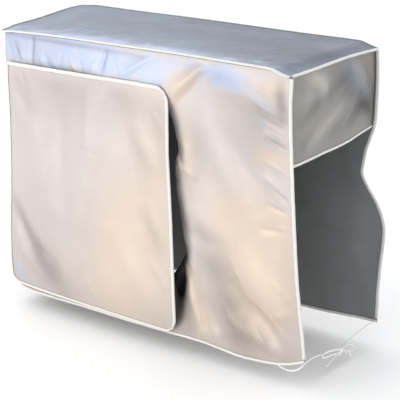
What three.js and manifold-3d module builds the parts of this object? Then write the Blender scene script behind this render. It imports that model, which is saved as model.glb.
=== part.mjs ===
// Fitted cloth cover for a box-shaped outdoor unit, in millimetres, +Z up.
// The front faces -Y and +X is the viewer's right. The origin is the middle of the underside of
// the top panel, which is the face that the cover hangs from. Every panel is one layer of coated
// cloth, and every seam and edge is bound with a tape that is folded over it.
import * as THREE from 'three';
import { mergeVertices } from 'three/addons/utils/BufferGeometryUtils.js';
import Module from 'manifold-3d';

const wasm = await Module();
wasm.setup();

// Driving dimensions.
const CLOTH = 1.0; // cloth thickness
const TAPE = 1.0; // binding tape thickness, one layer
const GAP = 0.35; // air between two pieces that are sewn together
const FIN = 6.5; // how far a seam lies in from the cloth's edge
const LEG_SHORT = 2.7; // the tape's legs end this far short of the seam
const NOSE = 1.3; // how far the tape's fold stands past the end of its legs
const WIDTH = 752; // top panel, left edge to right edge
const DEPTH = 268; // top panel, front edge to back edge
const DROP = 565; // top panel to front hem
const FRONT_Y = -131; // front edge of the top panel
const SIDE_DROP_FRONT = 170; // top panel to the hem of the short right side, at the front
const SIDE_DROP_BACK = 152; // the same at the back
const LAP = 16; // how far the front panel runs round the left corner, and its bend there
const BEND = 7;
const CORD = 3.0; // tie cord diameter
const UNDER = CLOTH / 2 + TAPE + CLOTH / 2 + 2 * GAP + 0.5; // top panel down to a wall's edge

const table = (names, rows) =>
  rows.map((row) => Object.fromEntries(names.map((name, k) => [name, row[k]])));

// Edges of the top panel: where each edge lies and how high it stands over the flat middle.
const TOP_FRONT = table(['x', 'y', 'rise'], [
  [-364, -129, -5], [-320, -131, -1], [-180, -130, 2.5], [-40, -132, 3.5], [120, -131, 4],
  [250, -132, 3], [330, -131, 1.5], [352, -131, -1], [379, -130, -9.5],
]);
const TOP_BACK = table(['x', 'y', 'rise'], [
  [-386, 133, 1], [-350, 137, 3.5], [-216, 138, 2.5], [-60, 137, 3], [209, 136, 1],
  [330, 137, 0.5], [354, 137, -1], [388, 136, -9.5],
]);
const TOP_LEFT = table(['y', 'x', 'rise'], [
  [-131, -364, -5], [-90, -367, -1], [-20, -370, 0], [50, -378, 2], [105, -385, 2.5], [137, -386, 1],
]);
const TOP_RIGHT = table(['y', 'x', 'rise'], [
  [-131, 379, -9.5], [-64, 381, -9], [35, 383, -7], [96, 386, -8], [137, 388, -10],
]);
const TOP_CORNER = 10;
const EDGE_REACH = 42; // how far in from its edge the top panel is lifted or drawn down

// Side edges of the front and back panels, as a shift from the edge above.
const FRONT_LEFT_EDGE = table(['z', 'shift', 'out'], [
  [0, 0, 0], [-95, -2, 2], [-243, -3, 1], [-344, -8, 0], [-442, -13, 1], [-529, -16, 2], [-568, -15, 2],
]);
const FRONT_RIGHT_EDGE = table(['z', 'shift', 'out'], [
  [0, 0, 0], [-60, -1, 1], [-165, -3, 0], [-251, -1, 1], [-379, 2, 0], [-470, 6, -3], [-515, 8, -6],
  [-556, 8, -9],
]);
const BACK_LEFT_EDGE = table(['z', 'shift', 'out'], [
  [0, 0, 0], [-150, 1, 2], [-320, 4, 3], [-450, 3, 2], [-565, 6, 0],
]);
const BACK_RIGHT_EDGE = table(['z', 'shift', 'out'], [
  [0, 0, 0], [-44, 0, 1], [-106, -3, 1], [-149, -7, 0], [-176, -16, -2], [-200, -24, -4],
  [-230, -30, -5], [-250, -33, -5], [-281, -22, 0], [-309, -8, 5], [-331, 0, 8], [-359, 7, 9],
  [-385, 8, 7], [-430, 4, 4], [-490, -1, 1], [-560, -3, -2],
]);

// Hems.
const FRONT_HEM = table(['x', 'z'], [
  [-380, -563], [-363, -568], [-313, -572], [-150, -571], [54, -568], [141, -566], [190, -568],
  [236, -571], [283, -569], [335, -563], [364, -557], [388, -549],
]);
const BACK_HEM = table(['x', 'z'], [
  [-385, -560], [-200, -566], [0, -563], [220, -566], [384, -556],
]);
const SIDE_HEM = table(['y', 'z'], [
  [-125, -172], [-90, -171.5], [-25, -167], [41, -163], [100, -153], [130, -148],
]);
const LEFT_HEM = table(['y', 'z'], [[-125, -561], [-40, -566], [50, -563], [130, -561]]);

// Folds that stand out (+) or sink in (-), as soft lines from one point to another on the panel.
const FRONT_FOLDS = table(['x0', 'z0', 'x1', 'z1', 'width', 'out'], [
  [90, -78, 178, -14, 13, 3.5], [120, -90, 205, -22, 15, -2.5], [49, -14, -19, -50, 14, 2],
  [-268, -12, -274, -60, 7, -2], [-63, -12, -76, -52, 9, -2.5], [-330, -20, -300, -55, 10, 2],
  [127, -335, 199, -361, 22, -5], [199, -361, 221, -415, 22, -6], [221, -415, 267, -465, 22, -6],
  [267, -465, 318, -500, 20, -5], [150, -300, 250, -420, 34, 6], [116, -383, 140, -410, 9, 3],
  [121, -464, 143, -520, 10, 3], [128, -180, 146, -260, 14, 3], [138, -330, 142, -470, 14, 4],
  [96, -110, 106, -182, 14, -6], [106, -182, 97, -240, 14, -6], [96, -250, 108, -386, 16, -9],
  [108, -386, 84, -520, 18, -11],
  [325, -121, 362, -138, 9, 3], [318, -203, 362, -232, 10, 3], [305, -300, 356, -292, 10, -3],
  [300, -60, 360, -88, 12, 2.5], [185, -140, 260, -250, 30, 4], [250, -150, 300, -260, 26, -4],
  [330, -360, 352, -470, 16, 3], [285, -470, 352, -540, 16, -4], [230, -500, 320, -545, 14, 4],
  [170, -480, 205, -545, 16, -4], [150, -560, 250, -520, 16, 3],
]);
const SIDE_FOLDS = table(['y0', 'z0', 'y1', 'z1', 'width', 'out'], [
  [-90, -35, -20, -60, 24, 4], [-60, -140, 50, -50, 22, -4], [-10, -150, 90, -70, 18, 5],
  [50, -140, 110, -60, 14, -4], [-105, -90, -60, -130, 18, 3],
]);
const BACK_FOLDS = table(['x0', 'z0', 'x1', 'z1', 'width', 'out'], [
  [200, -90, 345, -215, 30, -5], [180, -200, 340, -300, 34, 6], [230, -330, 340, -420, 34, -5],
  [-250, -90, -120, -300, 46, 5], [-60, -160, 60, -420, 50, -6], [-300, -330, -220, -520, 40, -5],
  [60, -90, 160, -330, 40, 5], [120, -400, 250, -540, 34, 6], [-180, -380, -60, -540, 36, 5],
]);
const LEFT_FOLDS = table(['y0', 'z0', 'y1', 'z1', 'width', 'out'], [
  [-70, -60, 40, -240, 26, 5], [20, -60, 90, -260, 26, -5], [-80, -300, 10, -480, 26, -5],
  [10, -300, 85, -500, 26, 6],
]);
const FLAP_FOLDS = table(['x0', 'z0', 'x1', 'z1', 'width', 'out'], [
  [-94, -90, -112, -220, 34, 6], [-112, -220, -150, -370, 34, 6], [-150, -370, -195, -520, 30, 5],
  [-366, -370, -320, -441, 16, -4], [-320, -441, -243, -492, 18, -5.5], [-243, -492, -197, -545, 18, -4],
  [-350, -420, -333, -478, 12, 4], [-333, -478, -270, -535, 14, 5], [-290, -120, -250, -330, 46, 6],
  [-200, -100, -215, -330, 30, -5], [-20, -110, 10, -330, 30, -5], [10, -160, 45, -215, 20, 5],
  [30, -310, 58, -370, 18, 5], [-60, -390, 40, -520, 36, 6], [-330, -95, -290, -160, 24, -4],
]);

// The flap that covers the vent: its two side edges by height, and its bottom by x.
const FLAP_EDGES = table(['z', 'left', 'right', 'out'], [
  [-64, -341, 94, 4.6], [-90, -342, 97, 7], [-182, -347, 92, 9.5], [-248, -351, 93, 11],
  [-325, -358, 94, 12.5], [-421, -370, 93, 13.5], [-509, -378, 91, 13], [-562, -380, 88, 9.5],
]);
const FLAP_TOP = table(['share', 'z'], [[0, -65.5], [0.5, -64.5], [0.85, -63], [1, -64]]);
const FLAP_BOTTOM = table(['share', 'z'], [[0, -549], [0.06, -554], [0.3, -558], [0.7, -560], [1, -560]]);

// The vent opening behind the flap, cut by eye: its right edge by height.
const VENT = { left: -318, top: -92, bottom: -536, corner: 24 };
const VENT_RIGHT = table(['z', 'x'], [
  [-92, 78], [-108, 90], [-116, 93.5], [-140, 99], [-182, 105], [-215, 97], [-260, 95.5],
  [-317, 100], [-386, 108], [-416, 99], [-446, 79], [-480, 71], [-510, 64], [-536, 48],
]);
const FLAP_CORNERS = { topRight: 24, bottomRight: 30, bottomLeft: 22 };

// Ties: the middle line of each cord.
const KNOT = { x: 379, y: 11, z: -575 };
const FRONT_TIE = table(['x', 'y', 'z'], [
  [318, -121, -564.5], [336, -120, -571.5], [356, -119, -573.5], [373, -114.5, -567], [381, -103, -556],
  [381, -85, -554], [380, -58, -558.5], [379, -19, -565.5], [378, 4.8, -572.7],
]);
const BACK_TIE = table(['x', 'y', 'z'], [
  [377, 16.9, -572], [378, 32, -567.6], [379.5, 46, -563], [380, 68, -559], [380.5, 91, -555.5],
  [380, 119, -555.3],
]);
const LOOP_LEFT = table(['x', 'y', 'z'], [
  [381.4, 6.4, -571.2], [384.5, -6, -565.5], [386.3, -30, -557.6], [386, -46, -555.8],
  [385.2, -53.6, -557.6], [384.6, -56.4, -561], [384.6, -53.8, -564.6], [385.4, -46, -566.6],
  [386.8, -28, -567.6], [386, -8, -571.8], [383, 4.8, -575.2],
]);
const LOOP_RIGHT = table(['x', 'y', 'z'], [
  [382.1, 16.2, -571.6], [384, 21, -568], [385, 31.5, -568.9], [385, 43, -576], [384, 47.5, -583.5],
  [383, 43, -586.5], [382.5, 30, -582.6], [381.5, 17.5, -577.5],
]);
const TAIL_LONG = table(['x', 'y', 'z'], [
  [376.8, 5.2, -578.5], [377.5, -4, -580.5], [378.5, -17.6, -584], [379, -29.2, -588], [378, -35, -592.5],
]);
const TAIL_SHORT = table(['x', 'y', 'z'], [
  [377.2, 16.2, -578.9], [376.5, 25, -583.5], [376.5, 33.4, -587.9], [378, 39.6, -591], [379.5, 41, -595.5],
  [379, 42.5, -602.5],
]);

const mix = (a, b, t) => a + (b - a) * t;
const smooth = (t) => {
  const s = Math.min(Math.max(t, 0), 1);
  return s * s * (3 - 2 * s);
};

// Cubic curve through a table's rows: the value of one column at a place in another.
function along(rows, key, name, at) {
  const last = rows.length - 1;
  if (at <= rows[0][key]) return rows[0][name];
  if (at >= rows[last][key]) return rows[last][name];
  let k = 0;
  while (rows[k + 1][key] < at) k += 1;
  const slope = (i) => {
    const a = rows[Math.max(i - 1, 0)];
    const b = rows[Math.min(i + 1, last)];
    return (b[name] - a[name]) / (b[key] - a[key]);
  };
  const span = rows[k + 1][key] - rows[k][key];
  const t = (at - rows[k][key]) / span;
  const a = rows[k][name];
  const b = rows[k + 1][name];
  return a + (3 * (b - a) - span * (2 * slope(k) + slope(k + 1))) * t * t
    + (2 * (a - b) + span * (slope(k) + slope(k + 1))) * t * t * t + span * slope(k) * t;
}
const byHeight = (rows) => rows.map((row) => ({ ...row, down: -row.z }));

// Sum of the folds at a point: each is a bell across its line that dies out past its two ends.
function folds(rows, first, a, z) {
  let out = 0;
  for (const row of rows) {
    const a0 = row[`${first}0`];
    const ea = row[`${first}1`] - a0;
    const ez = row.z1 - row.z0;
    const t = Math.min(Math.max(((a - a0) * ea + (z - row.z0) * ez) / (ea * ea + ez * ez), 0), 1);
    const off = Math.hypot(a - a0 - ea * t, z - row.z0 - ez * t) / row.width;
    out += row.out * Math.exp(-off * off) * (0.55 + 0.45 * Math.sin(Math.PI * t));
  }
  return out;
}

// Grid lines across a panel, given in millimetres from its first edge, as shares of its size.
const shares = (marks) => marks.map((mark) => mark / marks[marks.length - 1]);
const TOP_MARKS = [0, FIN, 36, 78, 105, 160, 222, 284, 330, 390, 436, 462, 486, 508, 534, 562,
  590, 618, 646, 674, 702, 726, WIDTH - FIN, WIDTH];
const COLUMNS = shares(TOP_MARKS);
const FRONT_WIDTH = LAP + WIDTH - FIN; // the front panel's cloth, with its turn round the corner
const FRONT_COLUMNS = shares([0, FIN, LAP - BEND, LAP - BEND / 3, LAP + BEND / 3, LAP + BEND,
  ...TOP_MARKS.slice(2).map((mark) => LAP + mark - FIN)]);
const ROWS = shares([0, FIN, 24, 44, 66, 115, SIDE_DROP_FRONT - FIN, SIDE_DROP_FRONT, 205, 240, 280,
  320, 358, 394, 430, 464, 498, 532, DROP - FIN, DROP]);
const TOP_ROWS = shares([0, FIN, 24, 44, 90, 178, 224, 244, DEPTH - FIN, DEPTH]);
const BACK_COLUMNS = shares([0, FIN, 60, 130, 200, 270, 340, 410, 480, 550, 610, 660, 705,
  WIDTH - FIN, WIDTH]);
const BACK_ROWS = shares([0, FIN, 50, 105, SIDE_DROP_BACK - FIN, SIDE_DROP_BACK, 176, 200, 225, 250,
  280, 306, 332, 360, 400, 446, 500, DROP - FIN, DROP]);
const LEFT_ROWS = shares([0, FIN, 60, 122, 196, 268, 340, 412, 478, 530, DROP - FIN, DROP]);
const SIDE_ROWS = shares([0, FIN, 24, 44, 66, 115, SIDE_DROP_FRONT - FIN, SIDE_DROP_FRONT]);
const SIDE_COLUMNS = shares([0, 18, 50, 86, 122, 158, 194, 226, 244]);
const FLAP_COLUMNS = shares([0, FIN, 30, 68, 106, 146, 186, 226, 266, 306, 346, 384, 412, 425 - FIN, 425]);
const FLAP_ROWS = shares([0, FIN, 28, 66, 106, 146, 186, 226, 266, 306, 340, 374, 408, 440, 470,
  497 - FIN, 497]);

// Top panel, as a middle surface: share u runs left to right, v front to back.
function topSheet(u, v) {
  const y0 = mix(FRONT_Y, FRONT_Y + DEPTH, v);
  const x = mix(along(TOP_LEFT, 'y', 'x', y0), along(TOP_RIGHT, 'y', 'x', y0), u);
  const front = along(TOP_FRONT, 'x', 'y', x);
  const back = along(TOP_BACK, 'x', 'y', x);
  const y = mix(front, back, v);
  const near = [
    [v * DEPTH, along(TOP_FRONT, 'x', 'rise', x)], [(1 - v) * DEPTH, along(TOP_BACK, 'x', 'rise', x)],
    [u * WIDTH, along(TOP_LEFT, 'y', 'rise', y0)], [(1 - u) * WIDTH, along(TOP_RIGHT, 'y', 'rise', y0)],
  ];
  let weights = 0;
  let rise = 0;
  for (const [away, height] of near) {
    const weight = 1 - smooth(away / EDGE_REACH);
    weights += weight;
    rise += weight * height;
  }
  return new THREE.Vector3(x, y, CLOTH / 2 + rise / Math.max(weights, 1));
}

// The top panel as sewn: that sheet with its two right corners cut off round.
function topPlace(u, v) {
  const place = topSheet(u, v);
  const a = Math.max(1 - (1 - u) * WIDTH / TOP_CORNER, 0);
  for (const [deep, sense] of [[v, 1], [1 - v, -1]]) {
    const cut = 0.29 * TOP_CORNER * Math.min(a, Math.max(1 - deep * DEPTH / TOP_CORNER, 0));
    place.x -= cut;
    place.y += sense * cut;
  }
  return place;
}

// Direction square to a middle surface, from its slopes.
function normalAt(place, u, v) {
  const step = 1e-3;
  const u0 = Math.max(u - step, 0);
  const u1 = Math.min(u + step, 1);
  const v0 = Math.max(v - step, 0);
  const v1 = Math.min(v + step, 1);
  const across = place(u1, v).sub(place(u0, v));
  const down = place(u, v1).sub(place(u, v0));
  return across.cross(down).normalize();
}

// The top panel's underside next to a seam, where a wall begins.
function seam(u, v) {
  const up = normalAt(topSheet, u, v);
  return topSheet(u, v).addScaledVector(up, -UNDER * Math.sign(up.z));
}

// Where the front panel hangs from the top panel: along the left seam, round a bend, and along the
// front seam. Gives the place in the top panel's own millimetres and how far it faces left.
function frontLine(run) {
  const start = LAP - BEND;
  const end = LAP + BEND;
  if (run <= start) return { across: FIN, deep: FIN + LAP - run, left: 1 };
  if (run >= end) return { across: FIN + run - LAP, deep: FIN, left: 0 };
  const turn = (Math.PI / 2) * (run - start) / (end - start);
  return { across: FIN + BEND * (1 - Math.cos(turn)), deep: FIN + BEND * (1 - Math.sin(turn)),
    left: Math.cos(turn) ** 2 };
}

// Front panel: hangs from the top panel's seam to its hem.
function frontPlace(u, v) {
  const run = u * FRONT_WIDTH;
  const line = frontLine(run);
  const top = seam(line.across / WIDTH, line.deep / DEPTH);
  const down = v * DROP;
  const edgeLeft = (name) => along(byHeight(FRONT_LEFT_EDGE), 'down', name, down);
  const edgeRight = (name) => along(byHeight(FRONT_RIGHT_EDGE), 'down', name, down);
  const x = top.x + mix(edgeLeft('shift'), edgeRight('shift'), Math.max(run - LAP, 0) / WIDTH);
  const z = mix(top.z, along(FRONT_HEM, 'x', 'z', x), v);
  const fromLeft = 1 - smooth((run - LAP) / 60);
  const fromRight = 1 - smooth((FRONT_WIDTH - run) / 60);
  const shoulder = 6 * smooth(down / 55) * (1 - 0.6 * smooth((down - 70) / 130));
  const inner = 1 - fromLeft - fromRight;
  const level = smooth((1 - v) * DROP / 45);
  const out = shoulder * (0.5 + 0.5 * inner) + inner * level * folds(FRONT_FOLDS, 'x', x, z)
    + fromLeft * edgeLeft('out') + fromRight * edgeRight('out');
  const push = out * smooth(down / 20);
  return new THREE.Vector3(x - 0.5 * push * line.left, top.y - push * (1 - line.left), z);
}

// Back panel: the same, facing away, with its right edge free below the side's hem.
function backPlace(u, v) {
  const top = seam(u, TOP_ROWS[TOP_ROWS.length - 2]);
  const guess = v * DROP;
  const x = top.x + mix(along(byHeight(BACK_LEFT_EDGE), 'down', 'shift', guess),
    along(byHeight(BACK_RIGHT_EDGE), 'down', 'shift', guess), smooth((u - 0.55) / 0.45));
  const z = mix(top.z, along(BACK_HEM, 'x', 'z', x), v);
  const fromLeft = 1 - smooth(u * WIDTH / 60);
  const fromRight = 1 - smooth((1 - u) * WIDTH / 70);
  const inner = 1 - fromLeft - fromRight;
  const level = smooth((1 - v) * DROP / 45);
  const out = inner * level * folds(BACK_FOLDS, 'x', x, z)
    + fromLeft * along(byHeight(BACK_LEFT_EDGE), 'down', 'out', guess)
    + fromRight * along(byHeight(BACK_RIGHT_EDGE), 'down', 'out', guess);
  return new THREE.Vector3(x, top.y + out * smooth(v * DROP / 20), z);
}

// A side wall between the front and back panels: u runs front to back, v down.
function sideWall(frontU, backU, topU, start, hem, rows, outward, dropFront, dropBack) {
  const behind = TAPE + CLOTH + 2 * GAP + 0.3;
  const edge = (v) => frontPlace(frontU, v * dropFront / DROP).add(new THREE.Vector3(0, start, 0));
  const rear = (v) => backPlace(backU, v * dropBack / DROP).add(new THREE.Vector3(0, -behind, 0));
  const first = edge(0).y;
  const last = rear(0).y;
  const depthOf = (y) => (y - FRONT_Y) / DEPTH;
  const top = (u) => seam(topU, mix(depthOf(first), depthOf(last), u));
  return (u, v) => {
    const lerp = (a, b) => a.clone().lerp(b, u);
    const point = lerp(edge(v), rear(v));
    point.addScaledVector(top(u).sub(lerp(top(0), top(1))), 1 - v);
    const level = along(hem, 'y', 'z', point.y);
    const corners = mix(along(hem, 'y', 'z', edge(1).y), along(hem, 'y', 'z', rear(1).y), u);
    point.z += (level - corners) * v;
    const inner = smooth(u * DEPTH / 40) * smooth((1 - u) * DEPTH / 40);
    const away = smooth(v * 4) * smooth((1 - v) * dropFront / 45);
    point.x += outward * inner * away * folds(rows, 'y', point.y, point.z);
    return point;
  };
}
const sidePlace = sideWall(FRONT_COLUMNS[FRONT_COLUMNS.length - 2],
  BACK_COLUMNS[BACK_COLUMNS.length - 2], COLUMNS[COLUMNS.length - 2], TAPE + CLOTH + 2 * GAP + 0.3,
  SIDE_HEM, SIDE_FOLDS, 1, SIDE_DROP_FRONT, SIDE_DROP_BACK);
const leftPlace = sideWall(0, BACK_COLUMNS[1], COLUMNS[1], 0.9 + NOSE + 0.5, LEFT_HEM, LEFT_FOLDS, -1,
  DROP, DROP);

// Flap: hangs in front of the front panel, with rounded corners but for the sewn top left one.
function flapPlace(u, v) {
  const z0 = mix(along(FLAP_TOP, 'share', 'z', u), along(FLAP_BOTTOM, 'share', 'z', u), v);
  const rows = byHeight(FLAP_EDGES);
  let x = mix(along(rows, 'down', 'left', -z0), along(rows, 'down', 'right', -z0), u);
  let z = z0;
  const wide = along(rows, 'down', 'right', -z0) - along(rows, 'down', 'left', -z0);
  const corner = (du, dv, radius, sx, sz) => {
    const a = Math.max(1 - du * wide / radius, 0);
    const b = Math.max(1 - dv * 497 / radius, 0);
    const cut = 0.29 * radius * Math.min(a, b);
    x += sx * cut;
    z += sz * cut;
  };
  corner(1 - u, v, FLAP_CORNERS.topRight, -1, -1);
  corner(1 - u, 1 - v, FLAP_CORNERS.bottomRight, -1, 1);
  corner(u, 1 - v, FLAP_CORNERS.bottomLeft, 1, 1);
  const shoulder = 6 * smooth(-z / 55) * (1 - 0.6 * smooth((-z - 70) / 130));
  const inner = smooth(u * wide / 40) * smooth((1 - u) * wide / 40) * smooth(v * 497 / 50)
    * smooth((1 - v) * 497 / 40);
  const out = Math.max(shoulder, 3) + along(rows, 'down', 'out', -z) + inner * folds(FLAP_FOLDS, 'x', x, z);
  return new THREE.Vector3(x, FRONT_Y + FIN - out, z);
}

// A grid of points and normals on a middle surface.
function gridOf(place, us, vs) {
  const points = us.map((u) => vs.map((v) => place(u, v)));
  const normals = us.map((u) => vs.map((v) => normalAt(place, u, v)));
  return { points, normals, us, vs };
}

// A box of unit size, bent by a function of its three counts into a closed body. Each cell of its
// lower face is cut along the same diagonal as the cell over it, so thin cloth keeps its thickness.
function bent(across, down, place) {
  const box = new THREE.BoxGeometry(1, 1, 1, across, 1, down);
  box.deleteAttribute('normal');
  box.deleteAttribute('uv');
  const lower = box.groups[3];
  for (let k = lower.start; k < lower.start + lower.count; k += 6) {
    const [a, b, d, , c] = box.index.array.slice(k, k + 6);
    box.index.array.set([a, b, c, a, c, d], k);
  }
  const body = mergeVertices(box);
  const at = body.attributes.position;
  for (let k = 0; k < at.count; k += 1) {
    const i = Math.round((at.getX(k) + 0.5) * across);
    const j = Math.round((0.5 - at.getZ(k)) * down);
    const point = place(i, j, at.getY(k) * 2);
    at.setXYZ(k, point.x, point.y, point.z);
  }
  return body;
}

// Cloth panel: the grid's middle surface with half the cloth's thickness on either side.
const panel = (grid) => bent(grid.us.length - 1, grid.vs.length - 1, (i, j, side) =>
  grid.points[i][j].clone().addScaledVector(grid.normals[i][j], side * CLOTH / 2));

// The folded tape's section: distance past the cloth's edge and height over its middle surface,
// outside and inside, from one leg round the fold to the other.
const HALF = CLOTH / 2 + GAP;
const SECTION = table(['leg', 'outPast', 'outOver', 'inPast', 'inOver'], [
  [1, 0, HALF + TAPE, 0, HALF + 0.12], [0, 1.0, HALF + TAPE, 0.6, HALF + 0.2],
  [0, 0.9 + NOSE, 0, 1.0, 0], [0, 1.0, -HALF - TAPE, 0.6, -HALF - 0.2],
  [1, 0, -HALF - TAPE, 0, -HALF - 0.12],
]);

// Tape over an edge. Each station holds the cloth's edge point, the point one fin inside it, and
// the square direction at both.
function tape(stations) {
  const last = SECTION.length - 1;
  return bent(stations.length - 1, last, (i, j, side) => {
    const { edge, inside, up, upInside } = stations[i];
    const row = SECTION[j];
    const away = edge.clone().sub(inside).normalize();
    const over = side > 0 ? row.outOver : row.inOver;
    const past = side > 0 ? row.outPast : row.inPast;
    if (row.leg) return inside.clone().addScaledVector(away, LEG_SHORT).addScaledVector(upInside, over);
    return edge.clone().addScaledVector(away, past).addScaledVector(up, over);
  });
}

// Stations along one straight edge of a grid. Trims, in millimetres, shorten the two ends.
function edgeStations(grid, which, first, last, trimFirst = 0, trimLast = 0) {
  const maxI = grid.us.length - 1;
  const maxJ = grid.vs.length - 1;
  const pick = {
    left: (k) => [[0, k], [1, k]],
    right: (k) => [[maxI, k], [maxI - 1, k]],
    top: (k) => [[k, 0], [k, 1]],
    bottom: (k) => [[k, maxJ], [k, maxJ - 1]],
  }[which];
  const flip = which === 'left' || which === 'bottom' ? 1 : -1;
  const stations = [];
  for (let k = first; k <= last; k += 1) {
    const [[i0, j0], [i1, j1]] = pick(k);
    stations.push({
      edge: grid.points[i0][j0].clone(), inside: grid.points[i1][j1].clone(),
      up: grid.normals[i0][j0].clone().multiplyScalar(flip),
      upInside: grid.normals[i1][j1].clone().multiplyScalar(flip),
    });
  }
  const shorten = (end, next, by) => {
    const share = by / end.edge.distanceTo(next.edge);
    for (const name of ['edge', 'inside', 'up', 'upInside']) end[name].lerp(next[name], share);
  };
  shorten(stations[0], stations[1], trimFirst);
  shorten(stations[stations.length - 1], stations[stations.length - 2], trimLast);
  return stations;
}

// Stations all the way round a grid, clockwise as seen from the front, from its top left corner.
function loopStations(grid, trim) {
  const maxI = grid.us.length - 1;
  const maxJ = grid.vs.length - 1;
  const ring = [];
  for (let i = 0; i < maxI; i += 1) ring.push([i, 0]);
  for (let j = 0; j < maxJ; j += 1) ring.push([maxI, j]);
  for (let i = maxI; i > 0; i -= 1) ring.push([i, maxJ]);
  for (let j = maxJ; j > 0; j -= 1) ring.push([0, j]);
  const clamp = (k, max) => Math.min(Math.max(k, 1), max - 1);
  const stations = ring.map(([i, j]) => {
    const inI = clamp(i, maxI);
    const inJ = clamp(j, maxJ);
    return {
      edge: grid.points[i][j].clone(), inside: grid.points[inI][inJ].clone(),
      up: grid.normals[i][j].clone().negate(), upInside: grid.normals[inI][inJ].clone().negate(),
    };
  });
  stations[0].inside = grid.points[0][1].clone();
  stations[0].upInside = grid.normals[0][1].clone().negate();
  const end = stations[stations.length - 1];
  const before = stations[stations.length - 2];
  const share = trim / end.edge.distanceTo(before.edge);
  for (const name of ['edge', 'inside', 'up', 'upInside']) end[name].lerp(before[name], share);
  return stations;
}

// A closed body as a solid that can be cut, and back again.
function solidOf(geometry) {
  const index = geometry.index.array;
  return new wasm.Manifold(new wasm.Mesh({
    numProp: 3, vertProperties: new Float32Array(geometry.attributes.position.array),
    triVerts: new Uint32Array(index),
  }));
}
function geometryOf(solid) {
  const mesh = solid.getMesh();
  const geometry = new THREE.BufferGeometry();
  geometry.setAttribute('position', new THREE.BufferAttribute(mesh.vertProperties, 3));
  geometry.setIndex(new THREE.BufferAttribute(mesh.triVerts, 1));
  return geometry;
}
const plain = (geometry) => {
  geometry.deleteAttribute('normal');
  geometry.deleteAttribute('uv');
  return mergeVertices(geometry);
};

// The vent opening's cutter: its outline pushed through the front panel.
function ventCutter() {
  const { left, top, bottom, corner } = VENT;
  const shape = new THREE.Shape();
  shape.moveTo(left + corner, top);
  VENT_RIGHT.forEach(({ x, z }) => shape.lineTo(x, z));
  shape.lineTo(left + corner, bottom);
  shape.lineTo(left + corner * 0.3, bottom + corner * 0.3);
  shape.lineTo(left, bottom + corner);
  shape.lineTo(left, top - corner);
  shape.lineTo(left + corner * 0.3, top - corner * 0.3);
  shape.closePath();
  const cutter = new THREE.ExtrudeGeometry(shape, { depth: 80, steps: 1, bevelEnabled: false });
  cutter.rotateX(Math.PI / 2);
  cutter.translate(0, FRONT_Y + 50, 0);
  return plain(cutter);
}

// A cord along the points of its table.
function cord(rows, steps) {
  const path = new THREE.CatmullRomCurve3(rows.map((row) => new THREE.Vector3(row.x, row.y, row.z)));
  const round = new THREE.Shape();
  const sides = 8;
  for (let k = 0; k <= sides; k += 1) {
    const turn = 2 * Math.PI * k / sides;
    const put = k ? 'lineTo' : 'moveTo';
    round[put](CORD / 2 * Math.cos(turn), CORD / 2 * Math.sin(turn));
  }
  return plain(new THREE.ExtrudeGeometry(round, { steps, extrudePath: path, bevelEnabled: false }));
}

// The knot: a small lump with a short doubled end hanging from it.
function knotBody() {
  const lump = new THREE.SphereGeometry(1, 12, 8);
  lump.scale(4.1, 6.2, 4.9);
  const stub = new THREE.SphereGeometry(1, 8, 6);
  stub.scale(1.7, 5.5, 2.2);
  stub.rotateX(0.75);
  stub.translate(2.2, -6.6, -4.9);
  return geometryOf(solidOf(plain(lump)).add(solidOf(plain(stub))));
}

const silver = () => new THREE.MeshStandardMaterial({ color: 0xcfc6bd, roughness: 0.45, metalness: 0.35 });
const shaded = () => new THREE.MeshStandardMaterial({ color: 0x98938e, roughness: 0.5, metalness: 0.3 });
const white = () => new THREE.MeshStandardMaterial({ color: 0xf7f6ef, roughness: 0.85, metalness: 0 });

const cover = new THREE.Group();
function add(name, geometry, material, at) {
  geometry.computeVertexNormals();
  const mesh = new THREE.Mesh(geometry, material);
  mesh.name = name;
  if (at) mesh.position.set(at.x, at.y, at.z);
  cover.add(mesh);
}

const top = gridOf(topPlace, COLUMNS, TOP_ROWS);
const front = gridOf(frontPlace, FRONT_COLUMNS, ROWS);
const back = gridOf(backPlace, BACK_COLUMNS, BACK_ROWS);
const side = gridOf(sidePlace, SIDE_COLUMNS, SIDE_ROWS);
const left = gridOf(leftPlace, SIDE_COLUMNS, LEFT_ROWS);
const flap = gridOf(flapPlace, FLAP_COLUMNS, FLAP_ROWS);

add('top_panel', panel(top), silver());
add('front_panel', geometryOf(solidOf(panel(front)).subtract(solidOf(ventCutter()))), silver());
add('back_panel', panel(back), shaded());
add('right_side_panel', panel(side), shaded());
add('left_side_panel', panel(left), shaded());
add('front_flap', panel(flap), silver());

const acrossTop = COLUMNS.length - 1;
const deepTop = TOP_ROWS.length - 1;
const acrossFront = FRONT_COLUMNS.length - 1;
const downFront = ROWS.length - 1;
const acrossBack = BACK_COLUMNS.length - 1;
const downBack = BACK_ROWS.length - 1;
const deepSide = SIDE_COLUMNS.length - 1;
add('top_front_binding', tape(edgeStations(top, 'top', 0, acrossTop)), white());
add('top_back_binding', tape(edgeStations(top, 'bottom', 0, acrossTop)), white());
add('top_left_binding', tape(edgeStations(top, 'left', 1, deepTop - 1, GAP, GAP)), white());
add('top_right_binding', tape(edgeStations(top, 'right', 1, deepTop - 1, GAP, GAP)), white());
add('front_left_binding', tape(edgeStations(front, 'left', 0, downFront - 1, 0, GAP)), white());
add('front_right_binding', tape(edgeStations(front, 'right', 0, downFront - 1, 0, GAP)), white());
add('back_left_binding', tape(edgeStations(back, 'left', 0, downBack - 1, 0, GAP)), white());
add('back_right_binding', tape(edgeStations(back, 'right', 0, downBack - 1, 0, GAP)), white());
add('front_hem_binding', tape(edgeStations(front, 'bottom', 0, acrossFront)), white());
add('back_hem_binding', tape(edgeStations(back, 'bottom', 0, acrossBack)), white());
add('side_hem_binding', tape(edgeStations(side, 'bottom', 0, deepSide)), white());
add('left_hem_binding', tape(edgeStations(left, 'bottom', 0, deepSide)), white());
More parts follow.
